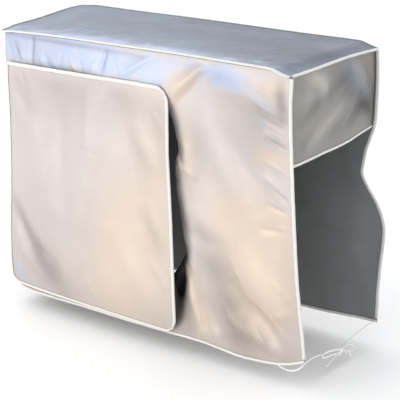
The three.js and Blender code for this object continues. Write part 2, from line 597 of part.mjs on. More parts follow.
add('flap_binding', tape(loopStations(flap, GAP + 2.4)), white());

add('tie_knot', knotBody(), white(), KNOT);
add('front_tie', cord(FRONT_TIE, 24), white());
add('back_tie', cord(BACK_TIE, 13), white());
add('bow_loop_left', cord(LOOP_LEFT, 18), white());
add('bow_loop_right', cord(LOOP_RIGHT, 16), white());
add('tie_end_long', cord(TAIL_LONG, 8), white());
add('tie_end_short', cord(TAIL_SHORT, 8), white());

export default cover;
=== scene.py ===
"""Studio scene of a fitted cloth cover: five panels of silver cloth, a bound flap and a bow.

Lengths in the tables are millimetres in the part's own frame: the front faces -Y, +X is the
viewer's right and the origin is the middle of the underside of the top panel. Meshes are metres.
"""

import bmesh
import bpy
import numpy as np
from mathutils import Matrix


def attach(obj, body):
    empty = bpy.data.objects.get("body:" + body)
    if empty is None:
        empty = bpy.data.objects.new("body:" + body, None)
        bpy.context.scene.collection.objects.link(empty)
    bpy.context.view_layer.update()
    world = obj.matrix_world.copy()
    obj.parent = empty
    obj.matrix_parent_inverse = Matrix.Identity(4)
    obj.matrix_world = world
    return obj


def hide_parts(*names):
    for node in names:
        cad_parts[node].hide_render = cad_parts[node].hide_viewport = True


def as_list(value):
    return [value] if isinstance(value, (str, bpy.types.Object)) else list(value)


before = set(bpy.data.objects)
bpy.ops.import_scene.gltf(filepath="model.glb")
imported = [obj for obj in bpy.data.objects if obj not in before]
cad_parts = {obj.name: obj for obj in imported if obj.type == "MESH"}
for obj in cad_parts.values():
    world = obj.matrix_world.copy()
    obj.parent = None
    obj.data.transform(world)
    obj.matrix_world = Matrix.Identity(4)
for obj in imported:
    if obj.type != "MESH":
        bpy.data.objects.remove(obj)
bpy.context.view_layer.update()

MM = 0.001
BODY = "root"
X_AXIS = np.array([1.0, 0.0, 0.0])
Z_AXIS = np.array([0.0, 0.0, 1.0])

# Sizes that the pieces share, in millimetres.
CLOTH = 1.0  # cloth thickness
TAPE = 0.9  # one layer of the binding tape
LAYER = 1.0  # one layer of the tape in the plain solids
GAP = 0.35  # air between two pieces that are sewn together
UNDER_AIR = 0.5  # extra air between the top panel and a wall's edge
BEHIND_AIR = 0.3  # extra air between the front panel and a side wall
FIN = 6.5  # how far a seam lies in from the cloth's edge
LEG = FIN - 2.7  # how far the tape's legs reach in from the cloth's edge
NOSE = 2.2  # how far the tape's fold stands past the cloth's edge
WIDTH = 752  # of the top panel, from its left edge to its right
DEPTH = 268  # from its front edge to its back
DROP = 565  # from the top seam to the hems
FRONT_Y = -131  # where the top's front edge lies
SIDE_WIDTH = 244
SIDE_LENGTH = 165  # of the right side panel's cloth, about
SIDE_DROP_FRONT = 170
SIDE_DROP_BACK = 152
LAP = 16  # how far the front panel runs round the left corner
BEND = 7  # radius of that corner
LAP_PUSH = 0.5  # share of a push outward that the lap round the corner takes
FRONT_WIDTH = LAP + WIDTH - FIN
FLAP_WIDTH = 440
FLAP_HEIGHT = 497
FLAP_STRIP = 8.5  # the wider stretch of tape where the flap is sewn on
CORD = 3.0
UNDER = CLOTH / 2 + LAYER + CLOTH / 2 + 2 * GAP + UNDER_AIR  # top panel down to a wall's edge
BEHIND = LAYER + CLOTH + 2 * GAP + BEHIND_AIR  # front or back panel to a side wall's edge
LEFT_BEHIND = 2.7  # the left wall starts this far behind the front panel's lap
TOP_CORNER = 10  # radius of the top panel's two right corners
FLOOR_Z = -607

# How far the cloth's forms fade in from its edges.
EDGE_REACH = 42  # the rise of the top panel's edges
SIDE_REACH = 60  # the line of a wall's side edge
FREE_REACH = 70  # the line of the back panel's free edge
FREE_SHARE = 0.45  # share of the back panel's width that leans with its free edge
HEM_REACH = 45  # folds over a hem
SEAM_REACH = 20  # folds under the top seam
SEAM_SHARE = 0.25  # folds under a side wall's seam, as a share of its drop
FOLD_REACH = 40  # folds beside the edges of a side wall and the flap
FLAP_SEAM_REACH = 50  # folds under the flap's sewn edge
TAPE_REACH = 14  # fine creases beside a taped edge
TAPE_START = 0.45  # share of that reach which stays plain under the tape
TOP_START = 0.5  # the same share on the top panel
TOP_RIPPLE = 0.8  # ripples of the top panel, which is stretched, to those of the others
SEWN_REACH = 16  # fine creases beside a sewn edge with no tape on it
SEWN_START = 0.55  # share of that reach which stays plain under the flap's strip
CORNER_REACH = 12  # fine creases beside a side wall's corners

# The bulge below the top seam: its size, where it rises, where it eases back and by what share.
SHOULDER = 6
SHOULDER_RISE = 55
SHOULDER_TURN = 70
SHOULDER_EASE = 130
SHOULDER_LOSS = 0.6
EDGE_BULGE = 0.5  # share of the bulge that is left at the front panel's side edges
FLAP_SHOULDER = 3  # the least bulge of the flap

# Camera, from the vanishing lines of the cover's edges. The image is 400 x 400.
IMAGE = 400
SENSOR = 36.0
CAMERA_AZIMUTH = 41.232
CAMERA_ELEVATION = 18.664
CAMERA_ROLL = -2.569
CAMERA_FOCUS = 1408.8  # focal length in image pixels
CAMERA_PLACE = (1.80895, -2.01011, 0.57317)


def table(names, rows):
    """A small table as arrays by column name."""
    return dict(zip(names.split(), np.array(rows, float).T))


# Ties: the middle line of each cord.
FRONT_TIE = table("x y z", [
    [318, -121, -564.5], [336, -120, -571.5], [356, -119, -573.5], [373, -114.5, -567],
    [381, -103, -556], [381, -85, -554], [380, -58, -558.5], [379, -19, -565.5],
    [378, 4.8, -572.7],
])
BACK_TIE = table("x y z", [
    [380, 119, -555.3], [380.5, 91, -555.5], [380, 68, -559], [379.5, 46, -563],
    [378, 32, -567.6], [377, 16.9, -572],
])
LOOP_LEFT = table("x y z", [
    [381.4, 6.4, -571.2], [384.5, -6, -565.5], [386.3, -30, -557.6], [386, -46, -555.8],
    [385.2, -53.6, -557.6], [384.6, -56.4, -561], [384.6, -53.8, -564.6], [385.4, -46, -566.6],
    [386.8, -28, -567.6], [386, -8, -571.8], [383, 4.8, -575.2],
])
LOOP_RIGHT = table("x y z", [
    [382.1, 16.2, -571.6], [384, 21, -568], [385, 31.5, -568.9], [385, 43, -576],
    [384, 47.5, -583.5], [383, 43, -586.5], [382.5, 30, -582.6], [381.5, 17.5, -577.5],
])
END_LONG = table("x y z", [
    [376.8, 5.2, -578.5], [377.5, -4, -580.5], [378.5, -17.6, -584], [379, -29.2, -588],
    [378, -35, -592.5],
])
END_SHORT = table("x y z", [
    [377.2, 16.2, -578.9], [376.5, 25, -583.5], [376.5, 33.4, -587.9], [378, 39.6, -591],
    [379.5, 41, -595.5], [379, 42.5, -602.5],
])
KNOT = np.array([379.0, 11.0, -575.0])

# Edges of the top panel: where each edge lies and how high it stands over the flat middle.
TOP_FRONT = table("x y rise", [
    [-364, -129, -5], [-320, -131, -1], [-180, -130, 2.5], [-40, -132, 3.5], [120, -131, 4],
    [250, -132, 3], [330, -131, 1.5], [352, -131, -1], [379, -130, -9.5],
])
TOP_BACK = table("x y rise", [
    [-386, 133, 1], [-350, 137, 3.5], [-216, 138, 2.5], [-60, 137, 3], [209, 136, 1],
    [330, 137, 0.5], [354, 137, -1], [388, 136, -9.5],
])
TOP_LEFT = table("y x rise", [
    [-131, -364, -5], [-90, -367, -1], [-20, -370, 0], [50, -378, 2], [105, -385, 2.5],
    [137, -386, 1],
])
TOP_RIGHT = table("y x rise", [
    [-131, 379, -9.5], [-64, 381, -9], [35, 383, -7], [96, 386, -8], [137, 388, -10],
])

# Side edges of the front and back panels, as a shift from the edge above.
FRONT_LEFT_EDGE = table("down shift out", [
    [0, 0, 0], [95, -2, 2], [243, -3, 1], [344, -8, 0], [442, -13, 1], [529, -16, 2],
    [568, -15, 2],
])
FRONT_RIGHT_EDGE = table("down shift out", [
    [0, 0, 0], [60, -1, 1], [165, -3, 0], [251, -1, 1], [379, 2, 0], [470, 6, -3],
    [515, 8, -6], [556, 8, -9],
])
BACK_LEFT_EDGE = table("down shift out", [
    [0, 0, 0], [150, 1, 2], [320, 4, 3], [450, 3, 2], [565, 6, 0],
])
BACK_RIGHT_EDGE = table("down shift out", [
    [0, 0, 0], [44, 0, 1], [106, -3, 1], [149, -7, 0], [176, -16, -2], [200, -24, -4],
    [230, -30, -5], [250, -33, -5], [281, -22, 0], [309, -8, 5], [331, 0, 8], [359, 7, 9],
    [385, 8, 7], [430, 4, 4], [490, -1, 1], [560, -3, -2],
])

# Hems.
FRONT_HEM = table("x z", [
    [-380, -563], [-363, -568], [-313, -572], [-150, -571], [54, -568], [141, -566],
    [190, -568], [236, -571], [283, -569], [335, -563], [364, -557], [388, -549],
])
BACK_HEM = table("x z", [[-385, -560], [-200, -566], [0, -563], [220, -566], [384, -556]])
SIDE_HEM = table("y z", [
    [-125, -172], [-90, -171.5], [-25, -167], [41, -163], [100, -153], [130, -148],
])
LEFT_HEM = table("y z", [[-125, -561], [-40, -566], [50, -563], [130, -561]])

# Folds that stand out (+) or sink in (-), as soft lines from one point to another on a panel.
FOLD = "a0 z0 a1 z1 width out"
FRONT_FOLDS = table(FOLD, [
    [90, -78, 178, -14, 13, 3.5], [120, -90, 205, -22, 15, -2.5], [49, -14, -19, -50, 14, 2],
    [-268, -12, -274, -60, 7, -2], [-63, -12, -76, -52, 9, -2.5], [-330, -20, -300, -55, 10, 2],
    [127, -335, 199, -361, 22, -5], [199, -361, 221, -415, 22, -6], [221, -415, 267, -465, 22, -6],
    [267, -465, 318, -500, 20, -5], [150, -300, 250, -420, 34, 6], [116, -383, 140, -410, 9, 3],
    [121, -464, 143, -520, 10, 3], [128, -180, 146, -260, 14, 3], [138, -330, 142, -470, 14, 4],
    [96, -110, 106, -182, 14, -6], [106, -182, 97, -240, 14, -6], [96, -250, 108, -386, 16, -9],
    [108, -386, 84, -520, 18, -11],
    [325, -121, 362, -138, 9, 3], [318, -203, 362, -232, 10, 3], [305, -300, 356, -292, 10, -3],
    [300, -60, 360, -88, 12, 2.5], [185, -140, 260, -250, 30, 4], [250, -150, 300, -260, 26, -4],
    [330, -360, 352, -470, 16, 3], [285, -470, 352, -540, 16, -4], [230, -500, 320, -545, 14, 4],
    [170, -480, 205, -545, 16, -4], [150, -560, 250, -520, 16, 3],
])
SIDE_FOLDS = table(FOLD, [
    [-90, -35, -20, -60, 24, 4], [-60, -140, 50, -50, 22, -4], [-10, -150, 90, -70, 18, 5],
    [50, -140, 110, -60, 14, -4], [-105, -90, -60, -130, 18, 3],
])
BACK_FOLDS = table(FOLD, [
    [200, -90, 345, -215, 30, -5], [180, -200, 340, -300, 34, 6], [230, -330, 340, -420, 34, -5],
    [-250, -90, -120, -300, 46, 5], [-60, -160, 60, -420, 50, -6], [-300, -330, -220, -520, 40, -5],
    [60, -90, 160, -330, 40, 5], [120, -400, 250, -540, 34, 6], [-180, -380, -60, -540, 36, 5],
])
LEFT_FOLDS = table(FOLD, [
    [-70, -60, 40, -240, 26, 5], [20, -60, 90, -260, 26, -5], [-80, -300, 10, -480, 26, -5],
    [10, -300, 85, -500, 26, 6],
])
FLAP_FOLDS = table(FOLD, [
    [-94, -90, -112, -220, 34, 6], [-112, -220, -150, -370, 34, 6], [-150, -370, -195, -520, 30, 5],
    [-366, -370, -320, -441, 16, -4], [-320, -441, -243, -492, 18, -5.5],
    [-243, -492, -197, -545, 18, -4], [-350, -420, -333, -478, 12, 4],
    [-333, -478, -270, -535, 14, 5], [-290, -120, -250, -330, 46, 6], [-200, -100, -215, -330, 30, -5],
    [-20, -110, 10, -330, 30, -5], [10, -160, 45, -215, 20, 5], [30, -310, 58, -370, 18, 5],
    [-60, -390, 40, -520, 36, 6], [-330, -95, -290, -160, 24, -4],
])

# Smaller creases, too fine for the plain solids.
FRONT_CREASES = table(FOLD, [
    [-268, -8, -272, -58, 3.5, -1.6], [-310, -22, -292, -50, 3, 1.4], [-322, -20, -306, -56, 3, -1.2],
    [-63, -8, -78, -50, 4, -1.6], [-55, -8, -66, -46, 4, 1.2], [52, -10, -12, -48, 4, 1.5],
    [66, -12, 8, -50, 4, -1.2], [104, -84, 168, -20, 7, 2.2], [126, -84, 184, -26, 6, -1.0],
    [104, -200, 112, -222, 5, 3], [112, -214, 150, -228, 6, 1.6], [122, -388, 146, -412, 5, -1.8],
    [330, -118, 366, -136, 4, 1.8], [334, -126, 368, -144, 4, -1.4], [322, -200, 366, -232, 4, 1.6],
    [326, -212, 364, -240, 5, -1.4], [310, -296, 362, -290, 4, 1.4], [306, -62, 366, -86, 5, 1.3],
    [280, -30, 360, -52, 6, -1.2], [236, -506, 262, -548, 5, 1.8], [258, -500, 290, -548, 5, -1.8],
    [284, -505, 318, -545, 5, 1.6], [176, -500, 196, -552, 6, -1.5], [206, -470, 236, -520, 8, 1.8],
    [330, -400, 362, -432, 6, 1.5], [322, -470, 366, -505, 6, -1.6], [236, -376, 262, -440, 5, 1.7],
    [262, -440, 318, -476, 5, 1.6], [318, -476, 366, -456, 8, 1.4], [124, -440, 134, -480, 6, 2.4],
    [134, -480, 154, -540, 6, 2.0], [140, -470, 168, -540, 9, -1.6], [312, -88, 366, -108, 4, -1.2],
    [318, -170, 366, -188, 4, 1.0], [316, -252, 364, -262, 4, -1.1], [180, -90, 200, -150, 14, 1.0],
    [222, -120, 262, -190, 16, -1.0], [270, -200, 300, -250, 12, 1.0], [170, -250, 210, -330, 16, 1.0],
    [105, -416, 76, -453, 14, 8.5], [240, -318, 236, -376, 5, 1.2], [-352, -14, -330, -54, 3.5, -1.5],
    [-338, -12, -316, -48, 3, 1.3], [-252, -40, -238, -62, 4, 1.6], [-238, -36, -222, -62, 4, -1.5],
    [-216, -44, -200, -64, 4, 1.4], [-186, -34, -196, -62, 4, -1.3], [-160, -46, -146, -64, 4, 1.3],
    [-136, -38, -128, -64, 4, -1.2], [-96, -40, -104, -64, 4, 1.3], [-210, -8, -150, -22, 5, 1.0],
    [-40, -10, -20, -52, 4, 1.2],
])
FLAP_CREASES = table(FOLD, [
    [-346, -356, -300, -420, 9, -1.0], [-300, -420, -281, -462, 8, -1.2],
    [-281, -462, -240, -479, 8, -1.2], [-240, -479, -187, -479, 10, -0.6],
    [-320, -441, -243, -492, 18, 2.6], [-243, -492, -197, -545, 20, 3.2],
    [-333, -478, -270, -535, 16, -2.6], [12, -158, 46, -204, 10, -1.0], [28, -300, 46, -362, 11, -1.1],
    [-110, -90, -124, -200, 12, 1.4], [-352, -470, -362, -520, 7, -1.6], [-150, -500, -120, -548, 9, 1.4],
    [-40, -500, -20, -548, 9, -1.2], [40, -420, 74, -470, 8, 1.4], [60, -110, 82, -150, 8, 1.2],
    [-300, -80, -286, -118, 8, -1.2], [-190, -78, -200, -108, 8, 1.1],
])
SIDE_CREASES = table(FOLD, [
    [-100, -28, -60, -66, 8, 1.8], [-78, -56, -44, -88, 10, -1.8], [-60, -150, 60, -62, 7, 3.0],
    [-30, -152, 84, -78, 6, -2.4], [60, -148, 112, -84, 6, 2.8], [78, -60, 116, -120, 6, -2.6],
    [-20, -20, 60, -34, 8, -1.4], [-104, -120, -70, -160, 7, 1.8], [-26, -14, -18, -66, 6, 2.0],
    [-96, -96, -30, -70, 9, -1.8], [-6, -92, 46, -50, 6, 1.6], [-84, -148, -40, -116, 6, 1.8],
    [20, -146, 66, -112, 5, 1.6], [84, -20, 100, -74, 7, 1.8], [-44, -24, -40, -60, 6, -1.4],
])
TOP_FOLDS = table(FOLD, [
    [-340, -116, -310, -84, 12, 1.6], [-296, -118, -270, -92, 10, -1.4], [-250, -118, -214, -86, 14, 1.5],
    [-196, -118, -160, -94, 12, -1.2], [-130, -118, -84, -92, 14, 1.4], [-50, -120, 0, -98, 14, -1.2],
    [40, -120, 96, -96, 14, 1.2], [262, -112, 286, -96, 7, 2.0], [286, -96, 300, -72, 8, -1.4],
    [150, -118, 200, -100, 12, -1.0], [-330, 40, -180, 90, 40, -1.6], [-60, 10, 120, 80, 50, 1.6],
    [180, 20, 300, 90, 44, -1.6], [-300, -50, -60, -20, 30, 1.2], [60, -60, 240, -20, 34, 1.2],
    [330, -90, 352, -60, 8, 1.4], [60, -122, 84, -104, 5, 0.8], [118, -120, 138, -104, 5, -0.7],
    [206, -120, 226, -106, 5, 0.8], [242, -120, 256, -102, 5, -0.8], [306, -118, 322, -100, 5, 0.9],
])

# Painted light on the coat, as soft lines like the folds: colour standing for a reflection of the
# cool sky, for warm light or for shade. The last column is 0 for painted sky reflection, 1 for
# painted warm light and 2 for painted shade; a shade share below 0 is a painted highlight.
PAINTED_LIGHT_KINDS = 3
PAINTED_LIGHT_COLUMNS = FOLD + " tint"
FRONT_PAINTED_LIGHT = table(PAINTED_LIGHT_COLUMNS, [
    [-150, -30, 40, -34, 34, 0.3, 0], [210, -30, 300, -34, 16, 0.32, 0],
    [-370, -30, -150, -34, 40, 0.12, 2], [150, -24, 280, -30, 16, 0.14, 2],
    [-385, -28, 60, -30, 40, 0.8, 0], [-385, -28, -180, -30, 34, 0.4, 0], [40, -40, 80, -46, 26, 0.5, 0],
    [110, -14, 310, -20, 22, 0.62, 0], [308, -96, 364, -134, 16, 0.36, 0],
    [306, -206, 362, -236, 18, 0.36, 0], [196, -70, 150, -190, 26, 0.32, 0],
    [336, -340, 362, -400, 16, 0.3, 0], [296, -56, 340, -70, 9, 0.5, 0], [96, -98, 172, -18, 12, 1.1, 1],
    [98, -70, 130, -40, 12, 0.5, 1], [290, -30, 362, -34, 15, 0.75, 1],
    [296, -160, 362, -166, 16, 1.0, 1], [130, -120, 128, -230, 20, 0.7, 1],
    [330, -268, 362, -290, 20, 0.8, 1], [190, -270, 330, -320, 70, 0.7, 1],
    [270, -330, 280, -540, 80, 1.0, 1], [130, -430, 160, -556, 24, 1.0, 1],
    [150, -350, 200, -415, 26, 0.18, 2], [200, -415, 232, -490, 32, 0.26, 2],
    [232, -490, 262, -556, 40, 0.3, 2], [276, -350, 316, -430, 28, -0.2, 2],
    [330, -330, 340, -450, 44, 0.9, 1], [330, -380, 345, -440, 22, -0.1, 2],
    [118, -420, 150, -540, 10, -0.22, 2], [280, -520, 350, -545, 18, 0.12, 2],
    [98, -110, 106, -182, 16, 0.55, 2], [106, -182, 97, -240, 16, 0.5, 2],
    [97, -250, 107, -386, 18, 0.6, 2], [107, -386, 92, -470, 18, 0.8, 2],
    [94, -450, 80, -536, 18, 0.75, 2], [114, -404, 86, -452, 13, 0.5, 2],
    [110, -455, 116, -552, 20, 0.3, 2], [354, -26, 362, -84, 13, 0.4, 2],
    [200, -44, 340, -84, 34, 0.2, 2], [190, -34, 320, -50, 20, 0.34, 0],
    [330, -60, 300, -150, 40, 0.14, 2], [-350, -9, 30, -12, 5, 0.3, 2], [-286, -60, -80, -62, 7, 0.3, 2],
    [-268, -8, -270, -58, 4, 0.3, 2], [-322, -20, -300, -58, 5, 0.26, 2], [-60, -20, -76, -60, 6, 0.2, 2],
    [240, -90, 300, -150, 40, 0.1, 2], [160, -130, 150, -240, 26, 0.12, 2],
    [330, -120, 362, -136, 8, 0.14, 2],
])
FLAP_PAINTED_LIGHT = table(PAINTED_LIGHT_COLUMNS, [
    [78, -96, 78, -230, 22, 0.12, 2], [18, -164, 44, -214, 13, 0.12, 2],
    [36, -306, 56, -370, 12, 0.12, 2], [-300, -150, -200, -170, 60, 0.1, 2],
    [66, -100, 40, -540, 80, 0.72, 1], [-60, -300, -60, -540, 70, 0.8, 1],
    [-190, -480, -60, -540, 60, 0.4, 1], [-364, -496, -350, -532, 12, 0.55, 0],
    [-350, -534, -300, -548, 10, 0.4, 0], [-348, -362, -314, -423, 12, 0.24, 2],
    [-314, -423, -280, -484, 18, 0.32, 2], [-280, -484, -226, -528, 32, 0.36, 2],
    [-120, -470, 60, -480, 90, -0.14, 2], [-310, -90, 40, -96, 46, 0.18, 2],
])
SIDE_PAINTED_LIGHT = table(PAINTED_LIGHT_COLUMNS, [
    [-64, -20, -22, -40, 16, -0.45, 2], [-30, -36, -26, -72, 12, -0.4, 2],
    [-74, -40, -70, -76, 14, -0.2, 2], [-64, -146, 20, -98, 11, -0.35, 2],
    [-96, -98, 50, -40, 15, 0.3, 2], [30, -30, 80, -100, 24, 0.28, 2], [86, -96, 124, -134, 16, 0.45, 2],
    [104, -40, 124, -110, 14, 0.25, 2], [-124, -20, -119, -165, 8, 0.3, 2],
    [10, -140, 110, -106, 16, 0.22, 2], [64, -22, 96, -60, 10, -0.2, 2],
    [-100, -150, -70, -130, 16, 0.14, 2], [-100, -60, -60, -140, 40, 0.6, 1],
    [-66, -20, -40, -46, 16, 0.9, 1], [40, -30, 90, -80, 30, 0.9, 0], [-40, -130, 30, -90, 16, 0.5, 1],
])
TOP_PAINTED_LIGHT = table(PAINTED_LIGHT_COLUMNS, [
    [-360, -112, 230, -112, 34, 0.7, 0], [-360, -108, 250, -112, 34, -0.35, 2],
    [278, -104, 292, -92, 9, -0.7, 2], [-330, -60, 100, -50, 26, 0.3, 0], [-300, 40, 260, 60, 60, 0.2, 2],
    [190, -10, 370, 10, 90, 0.36, 2], [56, -112, 92, -114, 7, -0.3, 2],
    [126, -106, 150, -110, 6, -0.3, 2], [170, -116, 196, -110, 6, -0.3, 2],
    [214, -112, 244, -106, 6, -0.34, 2], [306, -116, 352, -114, 7, -0.5, 2],
    [-60, 120, 380, 122, 30, 0.22, 2], [330, -110, 372, 110, 26, 0.25, 2],
    [-350, 90, -300, -60, 24, -0.18, 2],
])
NO_PAINTED_LIGHT = table(PAINTED_LIGHT_COLUMNS, [[0, 0, 1, 0, 1, 0, kind] for kind in range(PAINTED_LIGHT_KINDS)])  # lines of no strength

# The flap that covers the vent: its two side edges by height, and its top and bottom by share.
FLAP_EDGES = table("down left right out", [
    [64, -341, 94, 4.6], [90, -342, 97, 7], [182, -347, 92, 9.5], [248, -351, 93, 11],
    [325, -358, 94, 12.5], [421, -370, 93, 13.5], [509, -378, 91, 13], [562, -380, 88, 9.5],
])
FLAP_TOP = table("share z", [[0, -65.5], [0.5, -64.5], [0.85, -63], [1, -64]])
FLAP_BOTTOM = table("share z", [[0, -549], [0.06, -554], [0.3, -558], [0.7, -560], [1, -560]])
FLAP_CORNERS = {"top_right": 24, "bottom_right": 30, "bottom_left": 22}

# The vent opening behind the flap: left, top, bottom and its right edge by height.
VENT_LEFT = -318
VENT_TOP = -92
VENT_BOTTOM = -536
VENT_CORNER = 24
VENT_RIGHT = table("down x", [
    [92, 78], [108, 90], [116, 93.5], [140, 99], [182, 105], [215, 97], [260, 95.5],
    [317, 100], [386, 108], [416, 99], [446, 79], [480, 71], [510, 64], [536, 48],
])


def smooth(share):
    """Rises from 0 to 1 with flat ends: 3 s^2 - 2 s^3 of the share held between 0 and 1."""
    held = np.clip(share, 0, 1)
    return held * held * (3 - 2 * held)


def mix(a, b, share):
    """Straight blend from a to b."""
    return a + (b - a) * share


def along(rows, key, name, at):
    """Cubic curve through a table's rows: one column's value at a place in another column.

    The slope at a row is that of the line between its two neighbours.
    """
    x = rows[key]
    y = rows[name]
    count = len(x)
    before = np.maximum(np.arange(count) - 1, 0)
    after = np.minimum(np.arange(count) + 1, count - 1)
    slope = (y[after] - y[before]) / (x[after] - x[before])
    held = np.clip(at, x[0], x[-1])
    k = np.clip(np.searchsorted(x, held, side="right") - 1, 0, count - 2)
    span = x[k + 1] - x[k]
    t = (held - x[k]) / span
    rise = y[k + 1] - y[k]
    start = span * slope[k]
    end = span * slope[k + 1]
    return y[k] + start * t + (3 * rise - 2 * start - end) * t**2 + (start + end - 2 * rise) * t**3


FOLD_END = 0.55  # share of a fold's height at its two ends
FOLD_SWELL = 0.45  # how much more of it there is half way


def folds(rows, a, z):
    """Sum of the folds: each is out * exp(-(distance to its line / width)^2), fullest at half way."""
    out = np.zeros(np.broadcast(a, z).shape)
    for a0, z0, a1, z1, width, height in zip(*(rows[name] for name in FOLD.split())):
        da = a1 - a0
        dz = z1 - z0
        t = np.clip(((a - a0) * da + (z - z0) * dz) / (da * da + dz * dz), 0, 1)
        off = np.hypot(a - a0 - da * t, z - z0 - dz * t) / width
        out += height * np.exp(-off * off) * (FOLD_END + FOLD_SWELL * np.sin(np.pi * t))
    return out


RIPPLE_BEND = 0.8  # radians that a slow wave bends the ripples
BEND_ACROSS = 0.013
BEND_DOWN = 0.009
RIPPLE = table("across down turn height", [
    [0.021, 0.034, 0.4, 0.20], [0.043, -0.026, 1.7, 0.14], [-0.061, 0.047, 2.9, 0.09],
    [0.088, 0.071, 4.1, 0.06], [-0.117, 0.052, 5.3, 0.045], [0.152, -0.127, 0.9, 0.03],
])


def ripples(a, z, seed):
    """Slight unevenness of the cloth: six waves of different length and heading, bent by a slow
    one and added up."""
    out = np.zeros(np.broadcast(a, z).shape)
    bend = RIPPLE_BEND * np.sin(BEND_ACROSS * a + BEND_DOWN * z + seed)
    for across, down, turn, height in zip(*RIPPLE.values()):
        out += height * np.sin(across * a + down * z + turn * (1 + seed) + bend)
    return out


def painted_light_shares(rows, a, z):
    """Three shares of painted light at each point of a panel, painted sky reflection, painted warm light
    and painted shade: each the sum of its lines.
    """
    shares = []
    for kind in range(PAINTED_LIGHT_KINDS):
        chosen = {key: column[rows["tint"] == kind] for key, column in rows.items()}
        shares.append(np.clip(folds(chosen, a, z), -1, 1))
    return np.stack(shares, axis=-1)


def point(x, y, z):
    """Stacks three arrays into points."""
    return np.stack(np.broadcast_arrays(x, y, z), axis=-1)


def unit(vectors):
    """Vectors of length one."""
    return vectors / np.maximum(np.linalg.norm(vectors, axis=-1, keepdims=True), 1e-9)


def rounded(beside, under, radius):
    """How far a corner draws a point in, when a square corner is rounded to a quarter circle.

    With a and b the point's depth in the corner, 0 to 1, a moves to a sqrt(1 - b^2 / 2).
    """
    a = np.clip(1 - beside / radius, 0, 1)
    b = np.clip(1 - under / radius, 0, 1)
    return radius * a * (1 - np.sqrt(1 - b * b / 2)), radius * b * (1 - np.sqrt(1 - a * a / 2))


def past_tape(distance, reach=TAPE_REACH, start=TAPE_START):
    """Share of the fine creases at a distance from a bound edge: 0 under the tape, then 1."""
    return smooth(distance / reach - start)


def bulge(down):
    """How far a wall stands out below the top seam: it rises, then eases back by a share."""
    ease = smooth((down - SHOULDER_TURN) / SHOULDER_EASE)
    return SHOULDER * smooth(down / SHOULDER_RISE) * (1 - SHOULDER_LOSS * ease)


def top_sheet(u, v, fine=1.0):
    """The top's sheet: its four edge curves blended across, and their rises fading over EDGE_REACH.
    With fine at 0, here and in the other panels, the small forms are left out."""
    y0 = mix(FRONT_Y, FRONT_Y + DEPTH, v)
    x = mix(along(TOP_LEFT, "y", "x", y0), along(TOP_RIGHT, "y", "x", y0), u)
    y = mix(along(TOP_FRONT, "x", "y", x), along(TOP_BACK, "x", "y", x), v)
    weights = 0
    rise = 0
    for away, height in (
        (v * DEPTH, along(TOP_FRONT, "x", "rise", x)),
        ((1 - v) * DEPTH, along(TOP_BACK, "x", "rise", x)),
        (u * WIDTH, along(TOP_LEFT, "y", "rise", y0)),
        ((1 - u) * WIDTH, along(TOP_RIGHT, "y", "rise", y0)),
    ):
        weight = 1 - smooth(away / EDGE_REACH)
        weights = weights + weight
        rise = rise + weight * height
    inner = 1
    for away in (u * WIDTH, (1 - u) * WIDTH, v * DEPTH, (1 - v) * DEPTH):
        inner = inner * past_tape(away, start=TOP_START)
    soft = fine * inner * (folds(TOP_FOLDS, x, y) + TOP_RIPPLE * ripples(x, y, seed=0.3))
    return point(x, y, CLOTH / 2 + rise / np.maximum(weights, 1) + soft)


def top_place(u, v, fine=1.0):
    """Top panel: that sheet with its two right corners cut off round."""
    spot = top_sheet(u, v, fine)
    for deep, sense in ((v, 1), (1 - v, -1)):
        dx, dy = rounded((1 - u) * WIDTH, deep * DEPTH, TOP_CORNER)
        spot = spot + point(-dx, sense * dy, 0)
    return spot


def facing(place, u, v, outward):
    """Outward directions of a surface: cross product of two small steps across and down it."""
    step = 1e-3
    across = place(np.minimum(u + step, 1), v) - place(np.maximum(u - step, 0), v)
    down = place(u, np.minimum(v + step, 1)) - place(u, np.maximum(v - step, 0))
    return outward * unit(np.cross(across, down))


def seam(u, v):
    """Where a wall begins, under the top panel: UNDER below it, square to it, without fine folds."""
    def plain_top(a, b):
        return top_sheet(a, b, 0)
    return plain_top(u, v) - UNDER * facing(plain_top, u, v, 1)


def front_line(run):
    """Where the front panel hangs from the top: along the left seam, round a bend, along the front.

    Gives the place in the top panel's millimetres and how far the wall faces left there.
    """
    turn = (np.pi / 2) * np.clip((run - LAP + BEND) / (2 * BEND), 0, 1)
    before = np.minimum(run - LAP + BEND, 0)
    after = np.maximum(run - LAP - BEND, 0)
    across = FIN + BEND * (1 - np.cos(turn)) + after
    deep = FIN + BEND * (1 - np.sin(turn)) - before
    return across, deep, np.cos(turn) ** 2


def front_place(u, v, fine=1.0):
    """Front panel: from the top's seam to its hem, pushed out by its edges, shoulder and folds."""
    run = u * FRONT_WIDTH
    across, deep, left = front_line(run)
    top = seam(across / WIDTH, deep / DEPTH)
    down = v * DROP
    shift = mix(along(FRONT_LEFT_EDGE, "down", "shift", down),
                along(FRONT_RIGHT_EDGE, "down", "shift", down), np.maximum(run - LAP, 0) / WIDTH)
    x = top[..., 0] + shift
    z = mix(top[..., 2], along(FRONT_HEM, "x", "z", x), v)
    from_left = 1 - smooth((run - LAP) / SIDE_REACH)
    from_right = 1 - smooth((FRONT_WIDTH - run) / SIDE_REACH)
    inner = 1 - from_left - from_right
    level = smooth((1 - v) * DROP / HEM_REACH)
    near = smooth((run - LAP) / SEWN_REACH) * past_tape(FRONT_WIDTH - run) * past_tape((1 - v) * DROP)
    small = near * (folds(FRONT_CREASES, x, z) + ripples(x, z, seed=1.1))
    out = bulge(down) * mix(EDGE_BULGE, 1, inner) + inner * level * folds(FRONT_FOLDS, x, z)
    out = out + from_left * along(FRONT_LEFT_EDGE, "down", "out", down)
    out = out + from_right * along(FRONT_RIGHT_EDGE, "down", "out", down) + fine * small
    push = out * smooth(down / SEAM_REACH)
    return point(x - LAP_PUSH * push * left, top[..., 1] - push * (1 - left), z)


